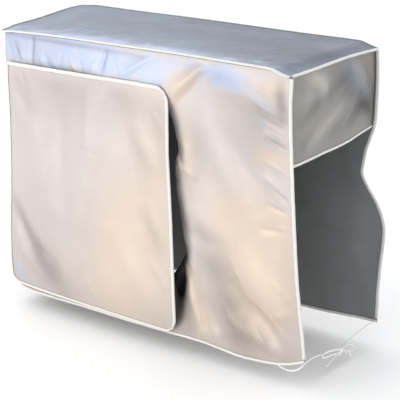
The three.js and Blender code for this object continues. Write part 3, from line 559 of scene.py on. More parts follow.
def back_place(u, v, fine=1.0):
    """Back panel: the same, facing away, with its right edge free below the side's hem."""
    top = seam(u, 1 - FIN / DEPTH)
    down = v * DROP
    shift = mix(along(BACK_LEFT_EDGE, "down", "shift", down),
                along(BACK_RIGHT_EDGE, "down", "shift", down),
                smooth((u - (1 - FREE_SHARE)) / FREE_SHARE))
    x = top[..., 0] + shift
    z = mix(top[..., 2], along(BACK_HEM, "x", "z", x), v)
    from_left = 1 - smooth(u * WIDTH / SIDE_REACH)
    from_right = 1 - smooth((1 - u) * WIDTH / FREE_REACH)
    inner = 1 - from_left - from_right
    level = smooth((1 - v) * DROP / HEM_REACH)
    near = past_tape(u * WIDTH) * past_tape((1 - u) * WIDTH) * past_tape((1 - v) * DROP)
    out = inner * level * folds(BACK_FOLDS, x, z) + fine * near * ripples(x, z, seed=2.3)
    out = out + from_left * along(BACK_LEFT_EDGE, "down", "out", down)
    out = out + from_right * along(BACK_RIGHT_EDGE, "down", "out", down)
    return point(x, top[..., 1] + out * smooth(down / SEAM_REACH), z)


def side_wall(front_u, back_u, top_u, start, hem, rows, creases, outward, drop_front, drop_back):
    """A side wall: straight between the front and back panels' edges, curved as the top seam
    above and as its hem below, and pushed out by its folds."""
    def place(u, v, fine=1.0):
        u, v = np.broadcast_arrays(np.asarray(u, float), np.asarray(v, float))
        full = np.ones_like(u)

        def edge(share):
            return front_place(full * front_u, share * drop_front / DROP, 0) + point(0, start, 0)

        def rear(share):
            return back_place(full * back_u, share * drop_back / DROP, 0) - point(0, BEHIND, 0)

        def level_of(y):
            return along(hem, "y", "z", y)

        def top(share):
            depth = mix(edge(0 * v)[..., 1], rear(0 * v)[..., 1], share)
            return seam(full * top_u, (depth - FRONT_Y) / DEPTH)

        u3 = u[..., None]
        v3 = v[..., None]
        spot = mix(edge(v), rear(v), u3)
        spot = spot + (1 - v3) * (top(u) - mix(top(0 * u), top(0 * u + 1), u3))
        corners = mix(level_of(edge(full)[..., 1]), level_of(rear(full)[..., 1]), u)
        z = spot[..., 2] + (level_of(spot[..., 1]) - corners) * v
        inner = smooth(u * DEPTH / FOLD_REACH) * smooth((1 - u) * DEPTH / FOLD_REACH)
        away = smooth(v / SEAM_SHARE) * smooth((1 - v) * drop_front / HEM_REACH)
        out = inner * away * folds(rows, spot[..., 1], z)
        near = smooth(u * DEPTH / CORNER_REACH) * smooth((1 - u) * DEPTH / CORNER_REACH)
        near = near * smooth(v * drop_front / SEWN_REACH) * past_tape((1 - v) * drop_front)
        small = ripples(spot[..., 1], z, seed=3.1)
        if creases is not None:
            small = small + folds(creases, spot[..., 1], z)
        out = out + fine * near * small
        return point(spot[..., 0] + outward * out, spot[..., 1], z)

    return place


side_place = side_wall(1 - FIN / FRONT_WIDTH, 1 - FIN / WIDTH, 1 - FIN / WIDTH, BEHIND,
                       SIDE_HEM, SIDE_FOLDS, SIDE_CREASES, 1, SIDE_DROP_FRONT, SIDE_DROP_BACK)
left_place = side_wall(0, FIN / WIDTH, FIN / WIDTH, LEFT_BEHIND,
                       LEFT_HEM, LEFT_FOLDS, None, -1, DROP, DROP)


def flap_place(u, v, fine=1.0):
    """Flap: between its side edges, in front of the front panel, with three rounded corners."""
    z0 = mix(along(FLAP_TOP, "share", "z", u), along(FLAP_BOTTOM, "share", "z", u), v)
    left = along(FLAP_EDGES, "down", "left", -z0)
    right = along(FLAP_EDGES, "down", "right", -z0)
    wide = right - left
    x = mix(left, right, u)
    z = z0
    for side, high, radius, sx, sz in (
        (1 - u, v, FLAP_CORNERS["top_right"], -1, -1),
        (1 - u, 1 - v, FLAP_CORNERS["bottom_right"], -1, 1),
        (u, 1 - v, FLAP_CORNERS["bottom_left"], 1, 1),
    ):
        dx, dz = rounded(side * wide, high * FLAP_HEIGHT, radius)
        x = x + sx * dx
        z = z + sz * dz
    inner = smooth(u * wide / FOLD_REACH) * smooth((1 - u) * wide / FOLD_REACH)
    inner = inner * smooth(v * FLAP_HEIGHT / FLAP_SEAM_REACH) * smooth((1 - v) * FLAP_HEIGHT / FOLD_REACH)
    near = past_tape(u * wide) * past_tape((1 - u) * wide)
    near = near * past_tape(v * FLAP_HEIGHT, SEWN_REACH, SEWN_START) * past_tape((1 - v) * FLAP_HEIGHT)
    out = np.maximum(bulge(-z), FLAP_SHOULDER) + along(FLAP_EDGES, "down", "out", -z)
    out = out + inner * folds(FLAP_FOLDS, x, z)
    out = out + fine * near * (folds(FLAP_CREASES, x, z) + ripples(x, z, seed=4.2))
    return point(x, FRONT_Y + FIN - out, z)


# Materials.
MIX_FIRST = 6  # the mix node's two colour inputs and its colour output, by number
MIX_SECOND = 7
MIX_COLOUR = 2


def node_maker(tree):
    """A short way to add a node to a tree, with its inputs set or joined."""
    def node(kind, inputs=(), **settings):
        added = tree.nodes.new(kind)
        for key, value in settings.items():
            setattr(added, key, value)
        for socket, value in dict(inputs).items():
            if isinstance(value, bpy.types.NodeSocket):
                tree.links.new(value, added.inputs[socket])
            else:
                added.inputs[socket].default_value = value
        return added

    return node


def new_material(name):
    """An empty material, its shader and short ways to add nodes and join them to the shader."""
    made = bpy.data.materials.new(name)
    made.use_nodes = True
    tree = made.node_tree
    shader = tree.nodes["Principled BSDF"]

    def join(output, socket):
        tree.links.new(output, shader.inputs[socket])

    return made, shader, node_maker(tree), join


def blend(node, share, first, second):
    """A colour that goes straight from the first to the second with the share."""
    mixed = node("ShaderNodeMix", {"Factor": share, MIX_FIRST: first, MIX_SECOND: second},
                 data_type="RGBA")
    return mixed.outputs[MIX_COLOUR]


def noise(node, place, scale, detail, roughness=0.5):
    """Soft random patches from 0 to 1, finer as the scale grows."""
    made = node("ShaderNodeTexNoise", {"Vector": place, "Scale": scale, "Detail": detail,
                                       "Roughness": roughness})
    return made.outputs["Fac"]


def spread(node, value, from_low, from_high, to_low=0.0, to_high=1.0):
    """A value moved in a straight line from one range to another and held inside it."""
    made = node("ShaderNodeMapRange", {"Value": value, "From Min": from_low, "From Max": from_high,
                                       "To Min": to_low, "To Max": to_high})
    return made.outputs["Result"]


def reckon(node, first, second, operation):
    """Two values added, subtracted or multiplied."""
    return node("ShaderNodeMath", {0: first, 1: second}, operation=operation).outputs[0]


def weave(node, spacing, uv):
    """Height of a plain weave: one wave across times one wave down, a thread every spacing in
    metres."""
    scale = np.pi / 10 / spacing
    across, down = (
        node("ShaderNodeTexWave", {"Vector": uv, "Scale": scale, "Distortion": 0.0},
             bands_direction=direction).outputs["Fac"] for direction in "XY")
    return reckon(node, across, down, "MULTIPLY")


THREAD_PITCH = 0.0011  # metres from thread to thread in the cloth


def silver_cloth(name, light, dark, sky_reflection_colour, warm_light_colour, worn, shine):
    """Coated cloth: two close silvers in soft patches, moved towards a painted sky reflection or
    painted warm light and given painted shade or painted highlight by the piece's own shares of
    painted light, with grime that gathers towards the hem, a fine weave and small crinkles."""
    made, shader, node, join = new_material(name)
    coordinates = node("ShaderNodeTexCoord")
    place = coordinates.outputs["Object"]
    patches = noise(node, place, scale=5.5, detail=3.0)
    blots = noise(node, place, scale=22.0, detail=5.0, roughness=0.6)
    crinkle = noise(node, place, scale=46.0, detail=5.0, roughness=0.6)
    tint = node("ShaderNodeAttribute", attribute_name="tint")
    shares = node("ShaderNodeSeparateXYZ", {"Vector": tint.outputs["Vector"]})
    height = node("ShaderNodeSeparateXYZ", {"Vector": place})

    # Painted sky reflection: the bluish share, made ragged by the blots, moves the silvers towards the
    # sky's colour, and the cream share adds painted warm light.
    ragged_sky_reflection = reckon(node, shares.outputs["X"], spread(node, blots, 0.3, 0.7, -0.3, 0.3), "ADD")
    sky_reflected = blend(node, spread(node, ragged_sky_reflection, 0.25, 0.75), blend(node, patches, dark, light), sky_reflection_colour)
    warm_lit = blend(node, shares.outputs["Y"], sky_reflected, warm_light_colour)
    grime = reckon(node, spread(node, height.outputs["Z"], -0.30, -0.60, 0.0, 0.5), blots, "MULTIPLY")
    # Painted shade: the third share darkens the colour, and below 0 lightens it as a painted highlight.
    left = reckon(node, 1.0, shares.outputs["Z"], "SUBTRACT")
    shaded = node("ShaderNodeVectorMath", {0: blend(node, grime, warm_lit, worn), "Scale": left},
                  operation="SCALE")
    join(shaded.outputs[0], "Base Color")
    shader.inputs["Metallic"].default_value = shine
    join(spread(node, blots, 0.3, 0.7, 0.42, 0.52), "Roughness")

    soft = node("ShaderNodeBump", {"Height": crinkle, "Strength": 0.34, "Distance": 0.0014})
    fine = node("ShaderNodeBump", {"Height": weave(node, THREAD_PITCH, coordinates.outputs["UV"]),
                                   "Strength": 0.30, "Distance": 0.00012,
                                   "Normal": soft.outputs["Normal"]})
    join(fine.outputs["Normal"], "Normal")
    return made


def woven(name, light, dark, spacing, roughness, sheen, depth):
    """Plain woven cloth without a coat: two close shades, a weave and a soft sheen."""
    made, shader, node, join = new_material(name)
    coordinates = node("ShaderNodeTexCoord")
    patches = noise(node, coordinates.outputs["Object"], scale=30.0, detail=4.0, roughness=0.6)
    join(blend(node, patches, dark, light), "Base Color")
    shader.inputs["Roughness"].default_value = roughness
    shader.inputs["Sheen Weight"].default_value = sheen
    threads = weave(node, spacing, coordinates.outputs["UV"])
    fine = node("ShaderNodeBump", {"Height": threads, "Strength": 0.5, "Distance": depth})
    join(fine.outputs["Normal"], "Normal")
    return made


# Colours of the painted light on the coat: bluish for a painted reflection of the cool sky and cream for
# painted warm light. The worn colour is grime.
PAINTED_SKY_REFLECTION = (0.42, 0.48, 0.62, 1)
PAINTED_WARM_LIGHT = (0.56, 0.47, 0.385, 1)
WORN = (0.36, 0.30, 0.245, 1)
outer_silver = silver_cloth("silver_coat", (0.52, 0.475, 0.46, 1), (0.475, 0.435, 0.425, 1),
                            PAINTED_SKY_REFLECTION, PAINTED_WARM_LIGHT, WORN, shine=0.32)
# The top's coat is a darker, bluer copy of the same cloth: painted sky reflection and painted shade.
top_coat_painted_sky_and_shade = silver_cloth("silver_coat_top_painted_sky_and_shade", (0.255, 0.28, 0.335, 1), (0.20, 0.225, 0.275, 1),
                          (0.36, 0.40, 0.52, 1), PAINTED_WARM_LIGHT, WORN, shine=0.42)
# The coat of the right side, the back and the left side is a darker copy of the same cloth: painted
# shade.
coat_painted_shade = silver_cloth("silver_coat_painted_shade", (0.29, 0.275, 0.262, 1), (0.24, 0.228, 0.22, 1),
                           (0.26, 0.27, 0.30, 1), (0.32, 0.285, 0.25, 1), WORN, shine=0.35)
# The inner face's dark grey is partly the cloth's own colour and partly painted shade, so the inside seen
# through the vent and the open side looks shaded.
inner_cloth_grey_with_painted_shade = woven("inner_face_grey_with_painted_shade", (0.24, 0.245, 0.245, 1), (0.18, 0.185, 0.188, 1),
                    spacing=THREAD_PITCH, roughness=0.85, sheen=0.1, depth=0.0002)
tape_white = woven("binding_white", (0.74, 0.728, 0.688, 1), (0.64, 0.63, 0.595, 1),
                   spacing=0.0007, roughness=0.9, sheen=0.2, depth=0.00012)
thread_white = woven("thread_white", (0.80, 0.79, 0.76, 1), (0.70, 0.69, 0.66, 1),
                     spacing=0.0004, roughness=0.8, sheen=0.1, depth=0.00008)
cord_white = woven("cord_white", (0.90, 0.89, 0.86, 1), (0.84, 0.83, 0.80, 1),
                   spacing=0.0006, roughness=0.9, sheen=0.2, depth=0.00015)


# Meshes.
def mesh_object(name, points, faces, uvs=None, finishes=(), which=None):
    """A mesh object in metres from points in millimetres, with its own UV map and materials."""
    mesh = bpy.data.meshes.new(name)
    mesh.from_pydata((points.reshape(-1, 3) * MM).tolist(), [], faces)
    if uvs is not None:
        corners = np.empty(len(mesh.loops), int)
        mesh.loops.foreach_get("vertex_index", corners)
        layer = mesh.uv_layers.new(name="cloth")
        layer.data.foreach_set("uv", (uvs.reshape(-1, 2)[corners] * MM).astype(np.float32).ravel())
    for finish in finishes:
        mesh.materials.append(finish)
    if which is not None:
        mesh.polygons.foreach_set("material_index", np.asarray(which, np.int32))
    mesh.polygons.foreach_set("use_smooth", np.ones(len(mesh.polygons), bool))
    mesh.update()
    made = bpy.data.objects.new(name, mesh)
    bpy.context.scene.collection.objects.link(made)
    return made


def dress(piece, node):
    """Puts a piece on its body, in place of its plain solid."""
    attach(piece, BODY)
    if node is not None:
        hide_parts(node)
    return piece


def grid_faces(rows, columns, offset=0, flip=False):
    """Quads of a grid whose points are counted row by row."""
    index = offset + np.arange(rows * columns).reshape(rows, columns)
    quads = np.stack([index[:-1, :-1], index[1:, :-1], index[1:, 1:], index[:-1, 1:]], axis=-1)
    quads = quads.reshape(-1, 4)
    return quads[:, ::-1] if flip else quads


def outside_vent(centres):
    """Which quads stay when the vent opening is cut: those whose centre isn't in the outline."""
    x = centres[:, 0]
    z = centres[:, 2]
    right = along(VENT_RIGHT, "down", "x", -z)
    inside = (x > VENT_LEFT) & (x < right) & (z < VENT_TOP) & (z > VENT_BOTTOM)
    corner = np.maximum(VENT_LEFT + VENT_CORNER - x, 0)
    upper = np.maximum(z - VENT_TOP + VENT_CORNER, 0)
    lower = np.maximum(VENT_BOTTOM + VENT_CORNER - z, 0)
    outside = (np.hypot(corner, upper) > VENT_CORNER) | (np.hypot(corner, lower) > VENT_CORNER)
    return ~(inside & ~outside)


def vent_outline():
    """The vent's closed outline as (x, z) points: its curved right edge and round left corners."""
    down = np.linspace(-VENT_TOP, -VENT_BOTTOM, 150)
    turn = np.linspace(0, np.pi / 2, 9)
    right = np.stack([along(VENT_RIGHT, "down", "x", down), -down], axis=-1)
    low = np.stack([VENT_LEFT + VENT_CORNER * (1 - np.sin(turn)),
                    VENT_BOTTOM + VENT_CORNER * (1 - np.cos(turn))], axis=-1)
    high = np.stack([VENT_LEFT + VENT_CORNER * (1 - np.cos(turn)),
                     VENT_TOP - VENT_CORNER * (1 - np.sin(turn))], axis=-1)
    ring = np.concatenate([right, low, high])
    return np.concatenate([ring, ring[:1]])


def onto_outline(spots):
    """The nearest points of the vent's outline: each point against every stretch of it."""
    ring = vent_outline()
    start = ring[None, :-1]
    step = ring[None, 1:] - start
    share = ((spots[:, None] - start) * step).sum(-1) / np.maximum((step**2).sum(-1), 1e-9)
    foot = start + np.clip(share, 0, 1)[..., None] * step
    nearest = np.argmin(((spots[:, None] - foot) ** 2).sum(-1), axis=1)
    return foot[np.arange(len(spots)), nearest]


def open_edges(quads, total):
    """The edges that only one quad has, each as its two points in that quad's order."""
    edges = np.concatenate([quads[:, [k, (k + 1) % 4]] for k in range(4)])
    code = edges[:, 0] * total + edges[:, 1]
    back = edges[:, 1] * total + edges[:, 0]
    return edges[~np.isin(code, back)]


def fit_vent(middle, rim):
    """The middle surface with the points round the vent moved onto its outline, in x and z. They
    are the points of the rim that aren't on the grid's border."""
    rows, columns = middle.shape[:2]
    row, column = np.divmod(rim[:, 0], columns)
    hole = rim[(row > 0) & (row < rows - 1) & (column > 0) & (column < columns - 1), 0]
    flat = middle.reshape(-1, 3).copy()
    flat[hole[:, None], [0, 2]] = onto_outline(flat[hole][:, [0, 2]])
    return flat.reshape(middle.shape)


def cloth_piece(name, node, place, outward, size, spacing, finishes, painted_lines, plane, vent=False):
    """A sheet of cloth: the middle surface on a fine grid, half the cloth's thickness to either
    side of it, and a narrow rim round every edge. Quads in the vent opening are left out and the
    points round it are moved onto its outline. Each point carries its shares of painted light,
    painted sky reflection, painted warm light and painted shade, read from the panel's lines of
    painted light by its two coordinates in the panel's plane."""
    width, height = size
    columns = int(round(width / spacing)) + 1
    rows = int(round(height / spacing)) + 1
    v, u = np.meshgrid(np.linspace(0, 1, rows), np.linspace(0, 1, columns), indexing="ij")
    middle = place(u, v)
    out = facing(place, u, v, outward)
    quads = grid_faces(rows, columns, flip=outward > 0)
    if vent:
        quads = quads[outside_vent(middle.reshape(-1, 3)[quads].mean(axis=1))]
    rim = open_edges(quads, rows * columns)
    if vent:
        middle = fit_vent(middle, rim)
    used = np.unique(quads)
    slot_of = np.full(rows * columns, -1)
    slot_of[used] = np.arange(len(used))
    face = (middle + out * CLOTH / 2).reshape(-1, 3)[used]
    lining = (middle - out * CLOTH / 2).reshape(-1, 3)[used]
    count = len(used)
    outer = slot_of[quads]
    inner = slot_of[quads][:, ::-1] + count
    a = slot_of[rim[:, 0]]
    b = slot_of[rim[:, 1]]
    sides = np.stack([b, a, a + count, b + count], axis=-1)
    uv = np.stack([u * width, (1 - v) * height], axis=-1).reshape(-1, 2)[used]
    which = np.concatenate([np.zeros(len(outer)), np.ones(len(inner)), np.zeros(len(sides))])
    faces = np.concatenate([outer, inner, sides]).tolist()
    points = np.concatenate([face, lining])
    piece = mesh_object(name, points, faces, np.concatenate([uv, uv]), finishes, which)
    # Painted sky reflection, painted warm light and painted shade at each point, kept in a point
    # attribute that the coat's material reads.
    shares = painted_light_shares(painted_lines, points[:, plane[0]], points[:, plane[1]])
    layer = piece.data.attributes.new("tint", "FLOAT_VECTOR", "POINT")
    layer.data.foreach_set("vector", shares.astype(np.float32).ravel())
    return dress(piece, node)


def tube_faces(rings, sides):
    """Quads between closed rings of points, and a fan over the one point at either end."""
    index = np.arange(rings * sides).reshape(rings, sides)
    turned = np.roll(index, -1, axis=1)
    quads = np.stack([index[:-1], turned[:-1], turned[1:], index[1:]], axis=-1).reshape(-1, 4)
    first = rings * sides
    last = first + 1
    start = [[first, int(b), int(a)] for a, b in zip(index[0], turned[0])]
    end = [[last, int(a), int(b)] for a, b in zip(index[-1], turned[-1])]
    return quads.tolist() + start + end


def route(rows, samples):
    """Smooth line through a table's points, evenly spaced: a centripetal Catmull-Rom curve, with
    each end carried on by its first or last step."""
    knots = point(rows["x"], rows["y"], rows["z"])
    full = np.concatenate([[2 * knots[0] - knots[1]], knots, [2 * knots[-1] - knots[-2]]])
    gaps = np.linalg.norm(np.diff(full, axis=0), axis=1) ** 0.5
    d0 = gaps[:-2, None]
    d1 = gaps[1:-1, None]
    d2 = gaps[2:, None]
    p0 = full[:-3]
    p1 = full[1:-2]
    p2 = full[2:-1]
    p3 = full[3:]
    leave = d1 * ((p1 - p0) / d0 - (p2 - p0) / (d0 + d1) + (p2 - p1) / d1)
    reach = d1 * ((p2 - p1) / d1 - (p3 - p1) / (d1 + d2) + (p3 - p2) / d2)
    t = np.linspace(0, 1, 40, endpoint=False)[None, :, None]
    line = p1[:, None] + leave[:, None] * t
    line = line + (3 * (p2 - p1) - 2 * leave - reach)[:, None] * t**2
    line = line + (2 * (p1 - p2) + leave + reach)[:, None] * t**3
    line = np.concatenate([line.reshape(-1, 3), knots[-1:]])
    run = np.concatenate([[0], np.cumsum(np.linalg.norm(np.diff(line, axis=0), axis=1))])
    even = np.linspace(0, run[-1], samples)
    return np.stack([np.interp(even, run, line[:, k]) for k in range(3)], axis=-1), run[-1]


CORD_SIDES = 16
CORD_STEP = 0.8  # from ring to ring along a cord
TWIST = 5.2  # millimetres of cord for each third of a turn of its strands
VALLEY = 0.90  # share of the radius at the groove between two strands
STRAND = 0.12  # how much further out the middle of a strand stands


def cord_piece(name, node, rows, lean):
    """A twisted cord: a round section carried along its route, with three strands that turn about
    it, and ends that close over the last radius."""
    length = route(rows, 2)[1]
    count = int(length / CORD_STEP) + 2
    line, length = route(rows, count)
    run = np.linspace(0, length, count)
    tangent = unit(np.gradient(line, axis=0))
    side = unit(lean - (tangent @ lean)[:, None] * tangent)
    other = np.cross(tangent, side)
    radius = CORD / 2
    near = np.clip(np.minimum(run, length - run) / radius, 0.02, 1)
    closing = np.sqrt(1 - (1 - near) ** 2)
    angle = np.linspace(0, 2 * np.pi, CORD_SIDES, endpoint=False)
    strands = VALLEY + STRAND * np.abs(np.cos(1.5 * angle[None] - np.pi * run[:, None] / TWIST))
    reach = radius * closing[:, None] * strands
    rings = line[:, None] + reach[..., None] * (
        np.cos(angle)[None, :, None] * side[:, None] + np.sin(angle)[None, :, None] * other[:, None])
    points = np.concatenate([rings.reshape(-1, 3), line[:1], line[-1:]])
    uv = np.stack(np.broadcast_arrays(angle[None] * radius, run[:, None]), axis=-1).reshape(-1, 2)
    uv = np.concatenate([uv, [[0, 0]], [[0, length]]])
    piece = mesh_object(name, points, tube_faces(count, CORD_SIDES), uv, [cord_white])
    dress(piece, node)
    return piece, line, length


# Camera.
def set_camera():
    """The camera at the photograph's angle: its axes are worked out from the two angles and roll."""
    azimuth, elevation, roll = np.radians([CAMERA_AZIMUTH, CAMERA_ELEVATION, CAMERA_ROLL])
    back = np.array([np.sin(azimuth) * np.cos(elevation), -np.cos(azimuth) * np.cos(elevation),
                     np.sin(elevation)])
    right = np.array([np.cos(azimuth), np.sin(azimuth), 0.0])
    up = np.cross(back, right)
    turned_right = np.cos(roll) * right + np.sin(roll) * up
    turned_up = np.cos(roll) * up - np.sin(roll) * right
    lens = bpy.data.cameras.new("camera")
    lens.sensor_width = SENSOR
    lens.lens = CAMERA_FOCUS / IMAGE * SENSOR
    camera = bpy.data.objects.new("camera", lens)
    bpy.context.scene.collection.objects.link(camera)
    axes = Matrix(np.stack([turned_right, turned_up, back], axis=-1).tolist()).to_4x4()
    axes.translation = CAMERA_PLACE
    camera.matrix_world = axes
    bpy.context.scene.camera = camera


set_camera()


# The tie at the hem: a knot, two long strands, two loops and two ends.
KNOT_HALF = (4.0, 6.1, 4.8)  # half the knot's size each way
KNOT_RIDGE = 0.09  # how much the wraps of cord stand out, as a share
KNOT_GRID = (30, 40)  # rings and sides
WRAPS = 2.0  # half the ridges round the knot
SLANT = 2.2  # radians that they turn from its middle to a pole
STUB_HALF = (1.7, 5.5, 2.2)
STUB_GRID = (12, 16)
STUB_PLACE = np.array([2.2, -6.6, -4.9])  # the stub's middle, from the knot's
STUB_LEAN = 0.75  # radians that the stub leans out of level
KNOT_VOXEL = 0.00032  # metres


def ellipsoid(half, rings, sides, ridge=0.0):
    """Points of an ellipsoid in rings about its Y axis, then its two poles. It swells by the share
    of a cosine that slants round it, strongest at the middle."""
    turn = np.linspace(0, np.pi, rings + 2)[1:-1, None]
    angle = np.linspace(0, 2 * np.pi, sides, endpoint=False)[None]
    swell = 1 + ridge * np.abs(np.cos(WRAPS * angle + SLANT * np.cos(turn))) * np.sin(turn)
    skin = point(half[0] * np.sin(turn) * np.cos(angle) * swell, half[1] * np.cos(turn) * swell,
                 half[2] * np.sin(turn) * np.sin(angle) * swell)
    return np.concatenate([skin.reshape(-1, 3), [[0, half[1], 0], [0, -half[1], 0]]])


def knot_pieces():
    """The knot: an ellipsoid with ridges where the cord wraps it, and a short leaning stub below."""
    wrap = ellipsoid(KNOT_HALF, *KNOT_GRID, KNOT_RIDGE) + KNOT
    x, y, z = ellipsoid(STUB_HALF, *STUB_GRID).T
    stub = point(x, y * np.cos(STUB_LEAN) - z * np.sin(STUB_LEAN),
                 y * np.sin(STUB_LEAN) + z * np.cos(STUB_LEAN)) + KNOT + STUB_PLACE
    return (mesh_object("tie_knot_wrap", wrap, tube_faces(*KNOT_GRID)),
            mesh_object("tie_knot_stub", stub, tube_faces(*STUB_GRID)))


def fused(name, parts, voxel):
    """One closed skin round several overlapping shapes: a voxel remesh, then a light smoothing."""
    bpy.ops.object.select_all(action="DESELECT")
    for part in parts:
        part.select_set(True)
    bpy.context.view_layer.objects.active = parts[0]
    bpy.ops.object.join()
    whole = parts[0]
    remesh = whole.modifiers.new("fuse", "REMESH")
    remesh.mode = "VOXEL"
    remesh.voxel_size = voxel
    bpy.ops.object.modifier_apply(modifier=remesh.name)
    ease = whole.modifiers.new("ease", "SMOOTH")
    ease.iterations = 2
    bpy.ops.object.modifier_apply(modifier=ease.name)
    whole.name = name
    whole.data.polygons.foreach_set("use_smooth", np.ones(len(whole.data.polygons), bool))
    whole.data.materials.clear()
    whole.data.materials.append(cord_white)
    return whole


knot = dress(fused("bow_knot", knot_pieces(), KNOT_VOXEL), "tie_knot")
for name, node, rows, lean, far_end, carried in (
    ("front_tie_cord", "front_tie", FRONT_TIE, Z_AXIS, "knot", [knot]),
    ("back_tie_cord", "back_tie", BACK_TIE, X_AXIS, "knot", []),
    ("bow_left_loop", "bow_loop_left", LOOP_LEFT, X_AXIS, "knot", []),
    ("bow_right_loop", "bow_loop_right", LOOP_RIGHT, X_AXIS, "knot", []),
    ("long_loose_end", "tie_end_long", END_LONG, X_AXIS, "bare", []),
    ("short_loose_end", "tie_end_short", END_SHORT, X_AXIS, "bare", []),
):
    piece, line, length = cord_piece(name, node, rows, lean)
    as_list(carried)


# Folded binding tape.
OVER = CLOTH / 2 + GAP + TAPE


def tape_section():
    """The folded tape's outline: round its outer face from one leg's end over the fold to the
    other, and back inside. The fold and the pocket are half ellipses. Columns are reach past the
    cloth's edge and height over its middle."""
    turn = np.linspace(np.pi / 2, -np.pi / 2, 9)
    fold = np.stack([0.5 + (NOSE - 0.5) * np.cos(turn), OVER * np.sin(turn)], axis=-1)
    inner = OVER - TAPE
    pocket = np.stack([0.35 + 0.65 * np.cos(turn), inner * np.sin(turn)], axis=-1)
    legs = np.array([-LEG, 0.25 - LEG, 0.8 - LEG, 1.6 - LEG, -1.3, -0.5])
    rise = np.array([OVER - 0.35, OVER, OVER - 0.1, OVER + 0.05, OVER + 0.12, OVER + 0.05])
    upper = np.stack([legs, rise], axis=-1)
    lower = np.stack([legs[::-1], -rise[::-1]], axis=-1)
    under_leg = np.array([[-1.5, -inner], [-LEG, -inner - 0.02]])
    over_leg = np.array([[-LEG, inner + 0.02], [-1.5, inner]])
    return np.concatenate([upper, fold, lower, under_leg, pocket[::-1], over_leg])


SECTION = tape_section()


STATION_STEP = 2.2
JUST_IN = 0.002  # a share just inside a cloth's edge


def edge_stations(place, outward, u, v, inside_u, inside_v):
    """Points every few millimetres along a cloth edge: the edge itself, the point one fin inside
    it, the outward directions at both, and the distance run. u and v trace the edge."""
    raw = place(u, v)
    run = np.concatenate([[0], np.cumsum(np.linalg.norm(np.diff(raw, axis=0), axis=1))])
    count = max(int(run[-1] / STATION_STEP), 4)
    even = np.linspace(0, run[-1], count)
    u, v, inside_u, inside_v = (np.interp(even, run, share) for share in (u, v, inside_u, inside_v))
    return {
        "edge": place(u, v), "inside": place(inside_u, inside_v), "run": even,
        "up": facing(place, np.clip(u, JUST_IN, 1 - JUST_IN), np.clip(v, JUST_IN, 1 - JUST_IN), outward),
        "up_inside": facing(place, inside_u, inside_v, outward),
    }


def on_tape(stations, reach, height):
    """Points of a tape: beyond the cloth's edge or back along it towards the inside point, and
    over the cloth by the height."""
    edge = stations["edge"]
    inward = stations["inside"] - edge
    away = -inward / np.linalg.norm(inward, axis=-1, keepdims=True)
    back = np.clip(-reach, 0, None)[..., None]
    past = np.clip(reach, 0, None)[..., None]
    share = np.clip(back / FIN, 0, 1)
    up = unit(mix(stations["up"][:, None], stations["up_inside"][:, None], share))
    base = edge[:, None] + inward[:, None] * back / FIN
    return base + away[:, None] * past + up * height[..., None]


FOLD_SWAY = 0.5  # share of the sway that the fold and the legs' tips take
LEG_SWAY = 0.6
LEG_TIP = 0.6  # how much of a leg sways
FACE_DEPTH = 0.5  # points this near to the outer face, or nearer, swell with it


def wave(run, height, long, turn=0.0):
    """A wave along a run: height * sin(run / long + turn)."""
    return height * np.sin(run / long + turn)


def tape_piece(name, node, stations):
    """Binding tape: the folded section carried along the stations and closed by a face at either
    end. Two slow waves sway its fold and legs in and out, and one swells its faces."""
    run = stations["run"]
    count = len(run)
    sway = (wave(run, height=0.22, long=9.0) + wave(run, height=0.16, long=4.1, turn=1.0))[:, None]
    swell = 1 + wave(run, height=0.05, long=5.7, turn=2.0)[:, None]
    out = SECTION[None, :, 0]
    over = SECTION[None, :, 1]
    reach = out + np.where(out > 0, FOLD_SWAY * sway, 0)
    reach = reach + np.where(out < LEG_TIP - LEG, LEG_SWAY * sway, 0)
    height = over * np.where(np.abs(over) > OVER - FACE_DEPTH, swell, 1)
    rings = on_tape(stations, reach, height)
    sides = len(SECTION)
    index = np.arange(count * sides).reshape(count, sides)
    turned = np.roll(index, -1, axis=1)
    quads = np.stack([index[:-1], turned[:-1], turned[1:], index[1:]], axis=-1).reshape(-1, 4)
    faces = quads.tolist() + [index[0][::-1].tolist(), index[-1].tolist()]
    around = np.concatenate([[0], np.cumsum(np.linalg.norm(np.diff(SECTION, axis=0), axis=1))])
    uv = np.stack(np.broadcast_arrays(around[None], run[:, None]), axis=-1)
    piece = mesh_object(name, rings, faces, uv, [tape_white])
    face_outward(piece)
    return dress(piece, node)


def face_outward(piece):
    """Turns the faces of a closed mesh outward."""
    work = bmesh.new()
    work.from_mesh(piece.data)
    bmesh.ops.recalc_face_normals(work, faces=work.faces)
    work.to_mesh(piece.data)
    work.free()


STITCH = 4.2  # pitch of the stitches
STITCH_LONG = 3.0
THREAD = 0.32  # radius of the thread
STITCH_IN = LEG - 1.2  # how far the stitches lie from the cloth's edge
STITCH_SIDES = 6
STITCH_FLAT = 0.8  # height of a stitch to its width
STITCH_LIFT = 0.02  # its middle line over the tape's face
STITCH_SINK = -0.12  # its tips, from that middle line
SPINDLE = table("at thick", [[-0.42, 0.55], [-0.2, 1], [0.2, 1], [0.42, 0.55]])  # its rings, as shares


